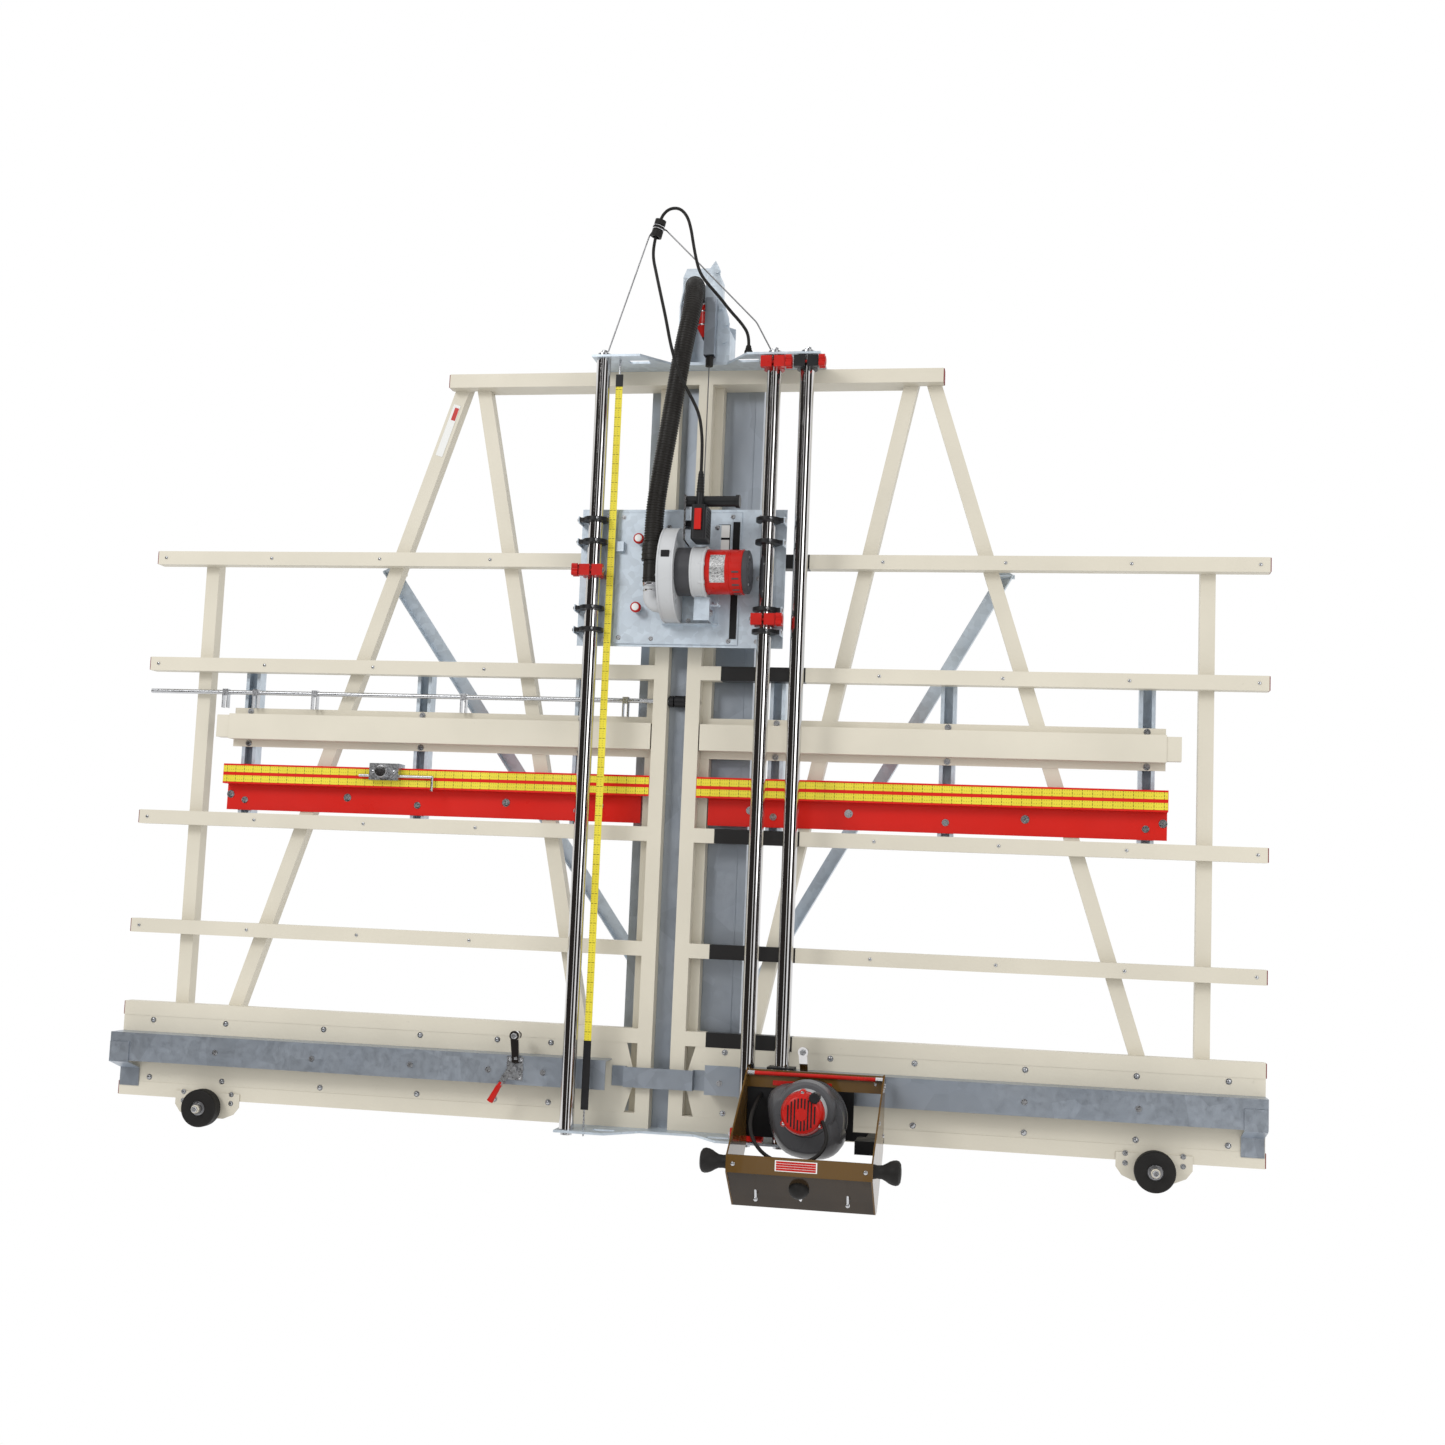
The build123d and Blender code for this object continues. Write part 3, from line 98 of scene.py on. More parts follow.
ELBOW_X, ELBOW_W, CUFF_TOP, HOSE_R = -49.0, -150.0, 1262.0, 25.0
INLET_X, INLET_W, INLET_TOP = 6.0, 121.0, 1800.0
HOSE_ROUTE = [
    (ELBOW_X, ELBOW_W, CUFF_TOP + 0.5), (ELBOW_X, ELBOW_W, 1340), (-37, -158, 1436), (-21, -164, 1541),
    (-4, -167, 1665), (15, -168, 1800), (36, -161, 1918), (15, -77, 1998), (INLET_X, 39, 1998),
    (INLET_X, INLET_W, 1916), (INLET_X, INLET_W, INLET_TOP),
]
CORD_R = 4.2
CORD_EXIT = (178.0, -120.0, 1804.0)
POWER_ROUTE = [
    CORD_EXIT, (178, -120, 1832), (158, -127, 1862), (127, -136, 1894), (99, -142, 1929), (66, -148, 1964),
    (44, -150, 1994), (32, -148, 2032), (21, -141, 2078), (12, -136, 2122), (0, -133, 2158),
    (-22, -131, 2182), (-51, -130, 2182), (-70, -130, 2163), (-77, -130, 2137), (-87, -130, 2097),
    (-90, -134, 2050), (-74, -150, 1995), (-50, -196, 1925), (-28, -215, 1850), (-8, -222, 1765),
    (18, -222, 1690), (48, -221, 1640), (74, -219, 1590), (83, -217, 1532), (84, -215, 1486),
    (84, -215, 1441),
]
ROUTER_CORD_R = 4.5
ROUTER_CORD_ROUTE = [
    (472, -364, -164), (486, -382, -184), (487, -400, -214), (468, -410, -242), (430, -413, -259),
    (385, -413, -260), (343, -409, -244), (315, -398, -216), (301, -370, -188), (296, -324, -163),
    (296, -250, -141), (296, -178, -130),
]
CABLE_X, CABLE_W, CABLE_R = 64.0, -70.0, 1.5
CABLE_ROUTE = [(CABLE_X, CABLE_W, 1373), (CABLE_X, CABLE_W, 1640), (CABLE_X, CABLE_W, 1913)]


def spline_points(route):
    """Points in the row frame along the smooth line that the route controls."""
    curve = bpy.data.curves.new("route", "CURVE")
    curve.dimensions = "3D"
    curve.resolution_u = 16
    spline = curve.splines.new("NURBS")
    spline.points.add(len(route) - 1)
    for point, place in zip(spline.points, route):
        point.co = (*at(*place), 1)
    spline.order_u = 3
    spline.use_endpoint_u = True
    holder = bpy.data.objects.new("route", curve)
    mesh = bpy.data.meshes.new_from_object(holder)
    points = [vertex.co.copy() for vertex in mesh.vertices]
    bpy.data.objects.remove(holder)
    bpy.data.curves.remove(curve)
    bpy.data.meshes.remove(mesh)
    return points


def evenly(points, step):
    """The same line with points a step apart, in metres."""
    places = [0.0]
    for a, b in zip(points, points[1:]):
        places.append(places[-1] + (b - a).length)
    count = max(2, round(places[-1] / step))
    spaced, index = [], 0
    for k in range(count + 1):
        want = places[-1] * k / count
        while index < len(points) - 2 and places[index + 1] < want:
            index += 1
        share = (want - places[index]) / max(1e-9, places[index + 1] - places[index])
        spaced.append(points[index].lerp(points[index + 1], min(1.0, share)))
    return spaced


def height_of(point):
    """How far up the frame a row frame point is, in layout millimetres."""
    return (LAYOUT @ point).z


# ---------------------------------------------------------------- materials

class Paint:
    """A node material in the making: a principled shader and short ways to add nodes to it."""

    def __init__(self, name):
        self.material = bpy.data.materials.new(name)
        self.material.use_nodes = True
        self.tree = self.material.node_tree
        self.shader = self.tree.nodes["Principled BSDF"]
        self.shader.inputs["Specular IOR Level"].default_value = 0.22
        self.object_space = self.tree.nodes.new("ShaderNodeTexCoord").outputs["Object"]

    def add(self, kind, **values):
        node = self.tree.nodes.new("ShaderNode" + kind)
        for key, value in values.items():
            if key in node.inputs:
                node.inputs[key].default_value = value
            else:
                setattr(node, key, value)
        return node

    def link(self, start, end):
        self.tree.links.new(start, end)

    def set(self, **values):
        for key, value in values.items():
            self.shader.inputs[key.replace("_", " ")].default_value = value

    def scaled(self, scale):
        mapping = self.add("Mapping")
        mapping.inputs["Scale"].default_value = scale if hasattr(scale, "__len__") else (scale,) * 3
        self.link(self.object_space, mapping.inputs["Vector"])
        return mapping.outputs["Vector"]

    def layout_axis(self, axis):
        """The place along a layout axis, 0 for x, 1 for w and 2 for v, in metres."""
        mapping = self.add("Mapping")
        mapping.inputs["Rotation"].default_value = (LEAN, 0, 0)
        self.link(self.object_space, mapping.inputs["Vector"])
        split = self.add("SeparateXYZ")
        self.link(mapping.outputs["Vector"], split.inputs[0])
        return split.outputs[axis]

    def math(self, operation, a, b=None):
        node = self.add("Math", operation=operation)
        for socket, value in zip(node.inputs, (a, b)):
            if hasattr(value, "is_linked"):
                self.link(value, socket)
            elif value is not None:
                socket.default_value = value
        return node.outputs[0]

    def noise(self, scale, detail=3.0, roughness=0.5, stretch=(1, 1, 1)):
        node = self.add("TexNoise", Scale=scale, Detail=detail, Roughness=roughness)
        self.link(self.scaled(stretch), node.inputs["Vector"])
        return node.outputs["Fac"]

    def ramp(self, factor, stops):
        """A ramp through (place, value) stops, where a value is a grey or a colour."""
        node = self.add("ValToRGB")
        elements = node.color_ramp.elements
        while len(elements) < len(stops):
            elements.new(0.5)
        for element, (place, value) in zip(elements, stops):
            element.position = place
            element.color = (*value, 1) if hasattr(value, "__len__") else (value, value, value, 1)
        self.link(factor, node.inputs["Fac"])
        return node.outputs["Color"]

    def mix(self, factor, a, b, blend="MIX"):
        node = self.add("Mix", data_type="RGBA", blend_type=blend)
        for socket, value in ((node.inputs[0], factor), (node.inputs[6], a), (node.inputs[7], b)):
            if hasattr(value, "is_linked"):
                self.link(value, socket)
            elif hasattr(value, "__len__"):
                socket.default_value = (*value, 1)
            else:
                socket.default_value = value
        return node.outputs[2]

    def bump(self, height, strength, distance):
        node = self.add("Bump", Strength=strength, Distance=distance)
        self.link(height, node.inputs["Height"])
        self.link(node.outputs["Normal"], self.shader.inputs["Normal"])

    def colour(self, value):
        self.link(value, self.shader.inputs["Base Color"])

    def rough(self, value):
        self.link(value, self.shader.inputs["Roughness"])


def darker(colour, share):
    return tuple(c * share for c in colour)


def coated(name, colour, roughness, peel=0.12, soil=0.90):
    """Powder coat: faint orange peel, a little soiling, a few scuffs and uneven gloss."""
    paint = Paint(name)
    cloud = paint.ramp(paint.noise(2.2, 4, 0.6), [(0.35, 0.0), (0.7, 1.0)])
    body = paint.mix(cloud, darker(colour, soil), colour)
    scuffs = paint.ramp(paint.noise(28, 6, 0.75), [(0.27, 1.0), (0.33, 0.0)])
    paint.colour(paint.mix(paint.math("MULTIPLY", scuffs, 0.5), body, darker(colour, 0.72)))
    paint.rough(paint.ramp(paint.noise(9, 3), [(0.3, roughness * 0.85), (0.7, min(1, roughness * 1.2))]))
    paint.bump(paint.noise(420, 2), peel, 0.0006)
    return paint.material


def zinc_sheet(name, colour, roughness, spangle=26.0, metallic=0.8):
    """Galvanised or zinc-plated sheet with soft cells, cloudy passivation and a fine grain."""
    paint = Paint(name)
    cells = paint.add("TexVoronoi", Scale=spangle)
    paint.link(paint.scaled(1.0), cells.inputs["Vector"])
    tone = paint.ramp(cells.outputs["Color"], [(0.2, darker(colour, 0.86)), (0.9, colour)])
    cloud = paint.ramp(paint.noise(5, 4, 0.6), [(0.3, (0.84, 0.87, 0.92)), (0.7, (1.0, 1.0, 1.0))])
    paint.colour(paint.mix(0.7, tone, cloud, "MULTIPLY"))
    paint.rough(paint.ramp(paint.noise(60, 4, 0.7), [(0.3, roughness * 0.8), (0.7, roughness * 1.25)]))
    paint.set(Metallic=metallic)
    paint.bump(paint.noise(700, 2), 0.05, 0.0004)
    return paint.material


def plain_metal(name, colour, roughness, grain=(1, 1, 1), scale=300, tarnish=0.85):
    """Bare or bright-plated metal with a fine grain and faint tarnish."""
    paint = Paint(name)
    fine = paint.ramp(paint.noise(scale, 3, 0.6, grain), [(0.3, 0), (0.7, 1)])
    cloud = paint.ramp(paint.noise(12, 4, 0.6), [(0.35, tarnish), (0.65, 1.0)])
    paint.colour(paint.mix(1.0, paint.mix(fine, darker(colour, 0.9), colour), cloud, "MULTIPLY"))
    paint.rough(paint.ramp(paint.noise(scale * 0.6, 3, 0.6, grain),
                           [(0.3, roughness * 0.75), (0.7, roughness * 1.35)]))
    paint.set(Metallic=1.0)
    return paint.material


def moulded(name, colour, roughness, grain=900.0, strength=0.12):
    """Moulded plastic or rubber with a fine texture and slightly uneven gloss."""
    paint = Paint(name)
    cloud = paint.ramp(paint.noise(30, 3), [(0.3, 0), (0.7, 1)])
    dust = paint.ramp(paint.noise(9, 5, 0.7), [(0.5, 0.0), (0.8, 0.18)])
    body = paint.mix(cloud, darker(colour, 0.8), colour)
    paint.colour(paint.mix(dust, body, tuple(min(1, c * 1.2 + 0.03) for c in colour)))
    paint.rough(paint.ramp(paint.noise(40, 3), [(0.3, roughness * 0.85), (0.7, min(1, roughness * 1.15))]))
    paint.bump(paint.noise(grain, 2), strength, 0.0004)
    return paint.material


def amber_acrylic():
    """Bronze tinted clear sheet, a little scratched."""
    paint = Paint("amber_acrylic")
    cloud = paint.ramp(paint.noise(3, 2), [(0.3, 0), (0.7, 1)])
    paint.colour(paint.mix(cloud, (0.085, 0.045, 0.012), (0.12, 0.064, 0.016)))
    paint.rough(paint.ramp(paint.noise(90, 4, 0.7, (1, 1, 0.1)), [(0.35, 0.04), (0.75, 0.16)]))
    paint.set(Alpha=0.92, IOR=1.49)
    return paint.material


def smoked_pane():
    """Dark glossy pane that barely lets light through."""
    paint = Paint("smoked_pane")
    cloud = paint.ramp(paint.noise(6, 3), [(0.3, 0), (0.7, 1)])
    paint.colour(paint.mix(cloud, (0.016, 0.010, 0.006), (0.040, 0.026, 0.014)))
    paint.rough(paint.ramp(paint.noise(80, 4, 0.7), [(0.35, 0.08), (0.75, 0.2)]))
    paint.set(Alpha=0.95)
    return paint.material


def tape_print(name, along, fine, coarse):
    """Yellow tape with black ticks across it: short ones every fine metres, long ones every coarse metres."""
    paint = Paint(name)
    place = paint.layout_axis(along)
    ticks = paint.math("LESS_THAN", paint.math("FRACT", paint.math("DIVIDE", place, fine)), 0.16)
    marks = paint.math("LESS_THAN", paint.math("FRACT", paint.math("DIVIDE", place, coarse)), 0.07)
    across = paint.layout_axis(2 if along == 0 else 0)
    edge = paint.math("FRACT", paint.math("DIVIDE", across, 0.0091))
    short = paint.math("MULTIPLY", ticks, paint.math("LESS_THAN", edge, 0.30))
    tall = paint.math("MULTIPLY", marks, paint.math("LESS_THAN", edge, 0.75))
    ink = paint.math("MAXIMUM", short, tall)
    cloud = paint.ramp(paint.noise(7, 3), [(0.3, (0.60, 0.50, 0.03)), (0.7, (0.70, 0.60, 0.05))])
    paint.colour(paint.mix(paint.math("MULTIPLY", ink, 0.82), cloud, (0.02, 0.02, 0.01)))
    paint.rough(paint.ramp(paint.noise(30, 3), [(0.3, 0.35), (0.7, 0.5)]))
    return paint.material


def speckled_plate():
    """Bright rating plate with a blotchy print that says nothing."""
    paint = Paint("rating_plate")
    blots = paint.ramp(paint.noise(260, 5, 0.8, (1, 1, 2.6)), [(0.42, 0.10), (0.5, 0.55), (0.62, 0.85)])
    paint.colour(blots)
    paint.set(Metallic=0.7)
    paint.rough(paint.ramp(paint.noise(120, 3), [(0.3, 0.25), (0.7, 0.45)]))
    return paint.material


MATERIALS = {
    "cream": coated("cream", (0.61, 0.57, 0.475), 0.42),
    "cap_red": moulded("cap_red", (0.20, 0.02, 0.02), 0.5),
    "track_black": coated("track_black", (0.018, 0.017, 0.017), 0.38, 0.05),
    "galvanised": zinc_sheet("galvanised", (0.44, 0.48, 0.53), 0.36, 14.0),
    "plated": zinc_sheet("plated", (0.63, 0.70, 0.76), 0.40, 60.0, 0.55),
    "red_coat": coated("red_coat", (0.60, 0.012, 0.006), 0.32),
    "tape": tape_print("tape", 0, 0.00635, 0.0254),
    "tall_tape": tape_print("tall_tape", 2, 0.00635, 0.0254),
    "zinc": plain_metal("zinc", (0.66, 0.67, 0.69), 0.28),
    "chrome": plain_metal("chrome", (0.72, 0.71, 0.71), 0.04, (1, 1, 0.1), 120, 0.96),
    "bright": plain_metal("bright", (0.80, 0.80, 0.82), 0.16),
    "wire": plain_metal("wire", (0.40, 0.40, 0.41), 0.35),
    "red_plastic": moulded("red_plastic", (0.45, 0.009, 0.005), 0.30),
    "black_plastic": moulded("black_plastic", (0.014, 0.014, 0.015), 0.38),
    "black_rubber": moulded("black_rubber", (0.013, 0.012, 0.011), 0.55, 500, 0.2),
    "hose_black": moulded("hose_black", (0.020, 0.018, 0.016), 0.36, 700, 0.15),
    "white_plastic": moulded("white_plastic", (0.78, 0.78, 0.76), 0.4),
    "label_white": coated("label_white", (0.72, 0.72, 0.70), 0.5, 0.02),
    "silver_cast": coated("silver_cast", (0.50, 0.51, 0.52), 0.30, 0.25, 0.85),
    "grey_cast": coated("grey_cast", (0.085, 0.085, 0.09), 0.28, 0.25, 0.85),
    # dark casting colour of the motor ends, also used as painted shade for the motor vent slots
    "dark_cast_and_vent_shade": coated("dark_cast_and_vent_shade", (0.055, 0.055, 0.06), 0.42, 0.25, 0.85),
    "blade": plain_metal("blade", (0.55, 0.55, 0.56), 0.3),
    "amber": amber_acrylic(),
    "smoked": smoked_pane(),
    "rating_plate": speckled_plate(),
    # near-black used as painted shade in slots and openings, and as the ink of the saw label's border
    "slot_shade_and_ink": moulded("slot_shade_and_ink", (0.010, 0.010, 0.011), 0.5),
}

NODE_MATERIALS = {
    "cream": ["frame_rails", "frame_uprights", "centre_posts", "lower_beam", "hat_beams", "wheel_brackets"],
    "cap_red": ["rail_end_caps"],
    "track_black": ["router_track_inserts"],
    "galvanised": ["dust_column", "fence_strips"],
    "plated": ["fence_struts", "rear_stand", "tube_plates", "tower_bracket", "saw_carriage_plate",
               "turntable_plate", "saw_bracket"],
    "red_coat": ["mid_fence"],
    "tape": ["measuring_tapes"],
    "zinc": ["frame_bolts", "clamp_bases", "stop_rod", "flip_stop", "flip_stop_knob", "index_pins",
             "plunge_lever", "left_clamp_handle", "right_clamp_handle"],
    "chrome": ["guide_tubes", "left_clamp_arm", "right_clamp_arm"],
    "wire": ["saw_cable", "cord_support"],
    "red_plastic": ["cable_balancer", "tube_stops", "carriage_locks", "saw_motor", "saw_trigger",
                    "router_motor", "lock_knob_left", "lock_knob_right", "stop_knob_middle_top",
                    "stop_knob_right_top", "stop_knob_middle_low"],
    "black_plastic": ["bearing_rings", "saw_handle", "balancer_drum", "router_carriage"],
    "black_rubber": ["dust_hose", "power_cord", "router_cord", "shield_handles", "left_wheel", "right_wheel"],
    "silver_cast": ["blade_guard", "dust_elbow"],
    "grey_cast": ["router_base"],
    "blade": ["saw_blade", "router_collet"],
    "amber": ["router_shield"],
}


def dress(name, material):
    data = nodes[name].data
    data.materials.clear()
    data.materials.append(MATERIALS[material])


for look, names in NODE_MATERIALS.items():
    for name in names:
        dress(name, look)


def recolour(name, material, test):
    """Another material for the faces of a CAD node whose middle, in layout millimetres, passes the test."""
    data = nodes[name].data
    data.materials.append(MATERIALS[material])
    slot = len(data.materials) - 1
    for face in data.polygons:
        if test(LAYOUT @ face.center):
            face.material_index = slot


def near_axis(point, x, v, reach):
    return math.hypot(point.x - x, point.z - v) < reach


WHEEL_X, WHEEL_V = 1259.0, -274.0
LEFT_TUBE, MIDDLE_TUBE, RIGHT_TUBE = -215.0, 248.5, 336.0     # x of the guide tubes
RING_LEVELS = (1335.0, 1276.0, 1098.0, 1040.0)
recolour("saw_motor", "silver_cast", lambda p: p.x < 100.4)
recolour("saw_motor", "dark_cast_and_vent_shade", lambda p: p.x < 61.5)
recolour("saw_motor", "dark_cast_and_vent_shade", lambda p: p.x > 196.5)
recolour("saw_handle", "bright", lambda p: p.x < 49.4)
recolour("cable_balancer", "galvanised", lambda p: p.y < -55.5 and p.z > 1791)
recolour("cable_balancer", "black_rubber", lambda p: p.z < 1792 or (p.y > -50 and p.z < 1860))
recolour("cable_balancer", "zinc", lambda p: p.y > -50 and p.z > 1949)
recolour("tube_stops", "black_plastic", lambda p: p.x > 305)
recolour("shield_handles", "red_plastic", lambda p: p.z > -90)
recolour("shield_handles", "bright", lambda p: p.y > -376 and p.z < -330)
recolour("router_motor", "silver_cast", lambda p: p.y > -344)
recolour("router_motor", "black_plastic", lambda p: p.x > 440.5 and p.z > -123 and p.y < -345.5)
for handle in ("left_clamp_handle", "right_clamp_handle"):
    recolour(handle, "red_plastic", lambda p: p.z < -158.5 or (p.z < -150 and not -84.6 < p.y < -80.9))
recolour("stop_rod", "black_plastic", lambda p: -22.5 < p.x < 22.5)
recolour("measuring_tapes", "tall_tape", lambda p: p.x < -163 and p.y < -90)
recolour("dust_elbow", "hose_black", lambda p: p.z > 1159)
recolour("plunge_lever", "red_plastic", lambda p: 565 < p.x < 591.2 and p.z < -290)
recolour("cord_support", "black_rubber", lambda p: math.dist(p, (-78, -130, 2128)) < 32)
recolour("cord_support", "black_rubber", lambda p: near_axis(p, 178, p.z, 12) and p.z < 1804.5)
recolour("rear_stand", "black_rubber", lambda p: (PLACE @ p).z < 0.0145)
# the slot in the turntable plate is coloured near-black: painted shade in the slot
recolour("turntable_plate", "slot_shade_and_ink", lambda p: 149.5 < p.x < 168.5 and p.y < -78.6)
for wheel, side in (("left_wheel", -1), ("right_wheel", 1)):
    recolour(wheel, "wire", lambda p, x=side * WHEEL_X: near_axis(p, x, WHEEL_V, 21))


# ---------------------------------------------------------------- building pieces


class Solid:
    """A piece drawn in layout millimetres from blocks, turned shapes, plates and tubes."""

    def __init__(self, name, material, body, bevel=0.0):
        self.name, self.material, self.body, self.bevel = name, material, body, bevel
        self.mesh = bmesh.new()

    def block(self, x0, x1, w0, w1, v0, v1):
        middle = Vector(((x0 + x1) / 2, (w0 + w1) / 2, (v0 + v1) / 2))
        size = Matrix.Diagonal((abs(x1 - x0), abs(w1 - w0), abs(v1 - v0), 1))
        bmesh.ops.create_cube(self.mesh, size=1.0, matrix=Matrix.Translation(middle) @ size)
        return self

    def skin(self, rings, closed=False):
        for a, b in zip(rings, rings[1:] + rings[:1] if closed else rings[1:]):
            count = len(a)
            for k in range(count):
                self.mesh.faces.new((a[k], a[(k + 1) % count], b[(k + 1) % count], b[k]))
        if not closed:
            self.mesh.faces.new(rings[0][::-1])
            self.mesh.faces.new(rings[-1])
        return self

    def lathe(self, start, direction, profile, sides=32, turn=0.0):
        """A turned shape; the profile is (reach along the axis, radius) pairs."""
        axis = Vector(direction).normalized()
        across = axis.orthogonal().normalized()
        third = axis.cross(across)
        rings = []
        for reach, radius in profile:
            centre = Vector(start) + axis * reach
            ring = []
            for k in range(sides):
                angle = turn + math.tau * k / sides
                offset = across * math.cos(angle) + third * math.sin(angle)
                ring.append(self.mesh.verts.new(centre + offset * max(radius, 0.05)))
            rings.append(ring)
        return self.skin(rings)

    def rod(self, start, end, radius, sides=24):
        along = Vector(end) - Vector(start)
        return self.lathe(start, along, [(0, radius), (along.length, radius)], sides)

    def bolt(self, place, direction, radius, height):
        """A hexagon head with a chamfered crown, on its washer."""
        self.lathe(place, direction, [(0, radius * 1.5), (radius * 0.2, radius * 1.5)], 24)
        crown = [(radius * 0.2, radius), (height * 0.85, radius), (height, radius * 0.8)]
        return self.lathe(place, direction, crown, 6)

    def loft(self, outlines):
        """Closed outlines of equal length, joined one after the other; every point is (x, w, v)."""
        return self.skin([[self.mesh.verts.new(Vector(p)) for p in outline] for outline in outlines])

    def plate(self, outline, w0, w1):
        """A plate parallel to the frame; the outline is (x, v) pairs."""
        return self.loft([[(x, w, v) for x, v in outline] for w in (w0, w1)])

    def side_plate(self, outline, x0, x1):
        return self.loft([[(x, w, v) for w, v in outline] for x in (x0, x1)])

    def sweep(self, points, radius, sides=12, closed=False):
        """A tube along row frame points; radius is in millimetres, or a function of the share of the way."""
        places = [LAYOUT @ point for point in points]
        count = len(places)
        normal, rings = None, []
        for k, place in enumerate(places):
            ahead = places[(k + 1) % count] if closed else places[min(k + 1, count - 1)]
            behind = places[k - 1] if closed else places[max(k - 1, 0)]
            tangent = (ahead - behind).normalized()
            normal = tangent.orthogonal() if normal is None else normal - tangent * normal.dot(tangent)
            normal.normalize()
            other = tangent.cross(normal)
            reach = radius(k / (count - 1)) if callable(radius) else radius
            ring = []
            for side in range(sides):
                angle = math.tau * side / sides
                offset = normal * math.cos(angle) + other * math.sin(angle)
                ring.append(self.mesh.verts.new(place + offset * reach))
            rings.append(ring)
        return self.skin(rings, closed)

    def make(self):
        """The object, in metres in the row frame, with its material but on no body yet."""
        bmesh.ops.recalc_face_normals(self.mesh, faces=self.mesh.faces)
        self.mesh.transform(PLACE)
        mesh = bpy.data.meshes.new(self.name)
        self.mesh.to_mesh(mesh)
        self.mesh.free()
        for face in mesh.polygons:
            face.use_smooth = True
        mesh.set_sharp_from_angle(angle=math.radians(35))
        mesh.materials.append(MATERIALS[self.material])
        obj = bpy.data.objects.new(self.name, mesh)
        bpy.context.collection.objects.link(obj)
        if self.bevel:
            bevel = obj.modifiers.new("edges", "BEVEL")
            bevel.width = self.bevel * MM
            bevel.segments = 2
            bevel.limit_method = "ANGLE"
            bevel.angle_limit = math.radians(40)
            bevel.harden_normals = True
        return obj

    def finish(self):
        obj = self.make()
        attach(obj, self.body)
        return obj


# ---------------------------------------------------------------- saw pieces

SAW_V, MOTOR_W, MOTOR_V = 1188.0, -150.0, 1190.0
GUARD_W, GUARD_R = -107.0, 124.0
MOTOR, GUARD = (MOTOR_W, MOTOR_V), (GUARD_W, SAW_V)


def around(centre, radius, degrees):
    """The (w, v) of a point round an axis along x, counted from the top towards the operator."""
    angle = math.radians(degrees)
    return centre[0] - radius * math.sin(angle), centre[1] + radius * math.cos(angle)


# near-black bars on the motor housing stand for its vent slots: painted shade in the openings
vent_shade = Solid("motor_vent_shade", "dark_cast_and_vent_shade", "turntable", 0.5)
for k in range(9):
    w, v = around(MOTOR, 57.6, 100 + 17.5 * k)
    vent_shade.rod((172, w, v), (190, w, v), 2.4, 10)
vent_shade.finish()
ribs = Solid("motor_ribs", "red_plastic", "turntable", 0.6)
for x in (102, 160, 193):
    ribs.lathe((x, MOTOR_W, MOTOR_V), (1, 0, 0), [(0, 58.0), (0.8, 59.3), (3.2, 59.3), (4, 58.0)], 64)
ribs.finish()
case_ridge = Solid("gear_case_ridge", "silver_cast", "turntable", 0.8)
case_ridge.lathe((62, MOTOR_W, MOTOR_V), (1, 0, 0), [(0, 64), (1, 66.4), (5, 66.4), (6, 65)], 64)
case_ridge.lathe((93, MOTOR_W, MOTOR_V), (1, 0, 0), [(0, 65), (1, 66.8), (6, 66.8), (7.3, 64)], 64)
for angle in (35, 80, 125, 170, 215, 260, 305, 350):
    w, v = around(MOTOR, 61, angle)
    case_ridge.rod((86, w, v), (101.5, w, v), 5.5, 16)
case_ridge.finish()
plate_points = [around(MOTOR, 58.7, 52 + 76 * k / 8) for k in range(9)]
inner_points = [(MOTOR_W + (w - MOTOR_W) * 0.985, MOTOR_V + (v - MOTOR_V) * 0.985) for w, v in plate_points]
rating = Solid("motor_plate", "rating_plate", "turntable")
rating.side_plate(plate_points + inner_points[::-1], 114, 153)
rating.finish()
screws = Solid("motor_screws", "zinc", "turntable", 0.3)
for x in (118, 149):
    for angle in (58, 122):
        outward = (0, *around((0, 0), 1, angle))
        screws.lathe((x, *around(MOTOR, 58.2, angle)), outward, [(0, 3), (1, 3), (1.8, 2)], 16)
for angle in (30, 150, 270):
    screws.bolt((209, *around(MOTOR, 42, angle)), (1, 0, 0), 3.4, 3)
screws.finish()
end_cap = Solid("motor_end_cap", "dark_cast_and_vent_shade", "turntable", 0.8)
end_cap.lathe((205, MOTOR_W, MOTOR_V), (1, 0, 0),
              [(0, 56.5), (2, 57), (6, 52), (6.5, 30), (8, 28), (8, 0.1)], 64)
for k in range(12):
    w, v = around(MOTOR, 34, 30 * k)
    end_cap.rod((209, w, v), (212.6, w, v), 3.2, 12)
end_cap.finish()

bead = Solid("guard_bead", "silver_cast", "turntable", 0.4)
outer, inner = ([around(GUARD, radius, -12 + 204 * k / 40) for k in range(41)]
                for radius in (GUARD_R + 1.4, GUARD_R - 3))
for x in (-20, 19):
    bead.side_plate(outer + inner[::-1], x - 1.0, x + 3.5)
bead.finish()
# a near-black block on the guard stands for its window: painted shade seen through the opening
window = Solid("guard_window_shade", "slot_shade_and_ink", "turntable", 0.8)
window.block(-10, 12, -229, -224, SAW_V + 26, SAW_V + 44)
window.finish()
guard_screws = Solid("guard_screws", "zinc", "turntable", 0.3)
for angle in (20, 60, 100, 140, 165):
    guard_screws.bolt((-21, *around(GUARD, 112, angle)), (-1, 0, 0), 4, 4)
guard_screws.finish()

label = Solid("saw_label", "label_white", "turntable", 0.3)
label.block(112, 141, -79.6, -78.4, 1224, 1330)
label.finish()
label_edge = Solid("saw_label_edge", "slot_shade_and_ink", "turntable", 0.2)
for box in ((110.5, 112.5, 1222.5, 1331.5), (140.5, 142.5, 1222.5, 1331.5), (110.5, 142.5, 1222.5, 1224.5),
            (110.5, 142.5, 1329.5, 1331.5), (112, 141, 1290, 1296)):
    label_edge.block(box[0], box[1], -79.9, -78.4, box[2], box[3])
label_edge.finish()

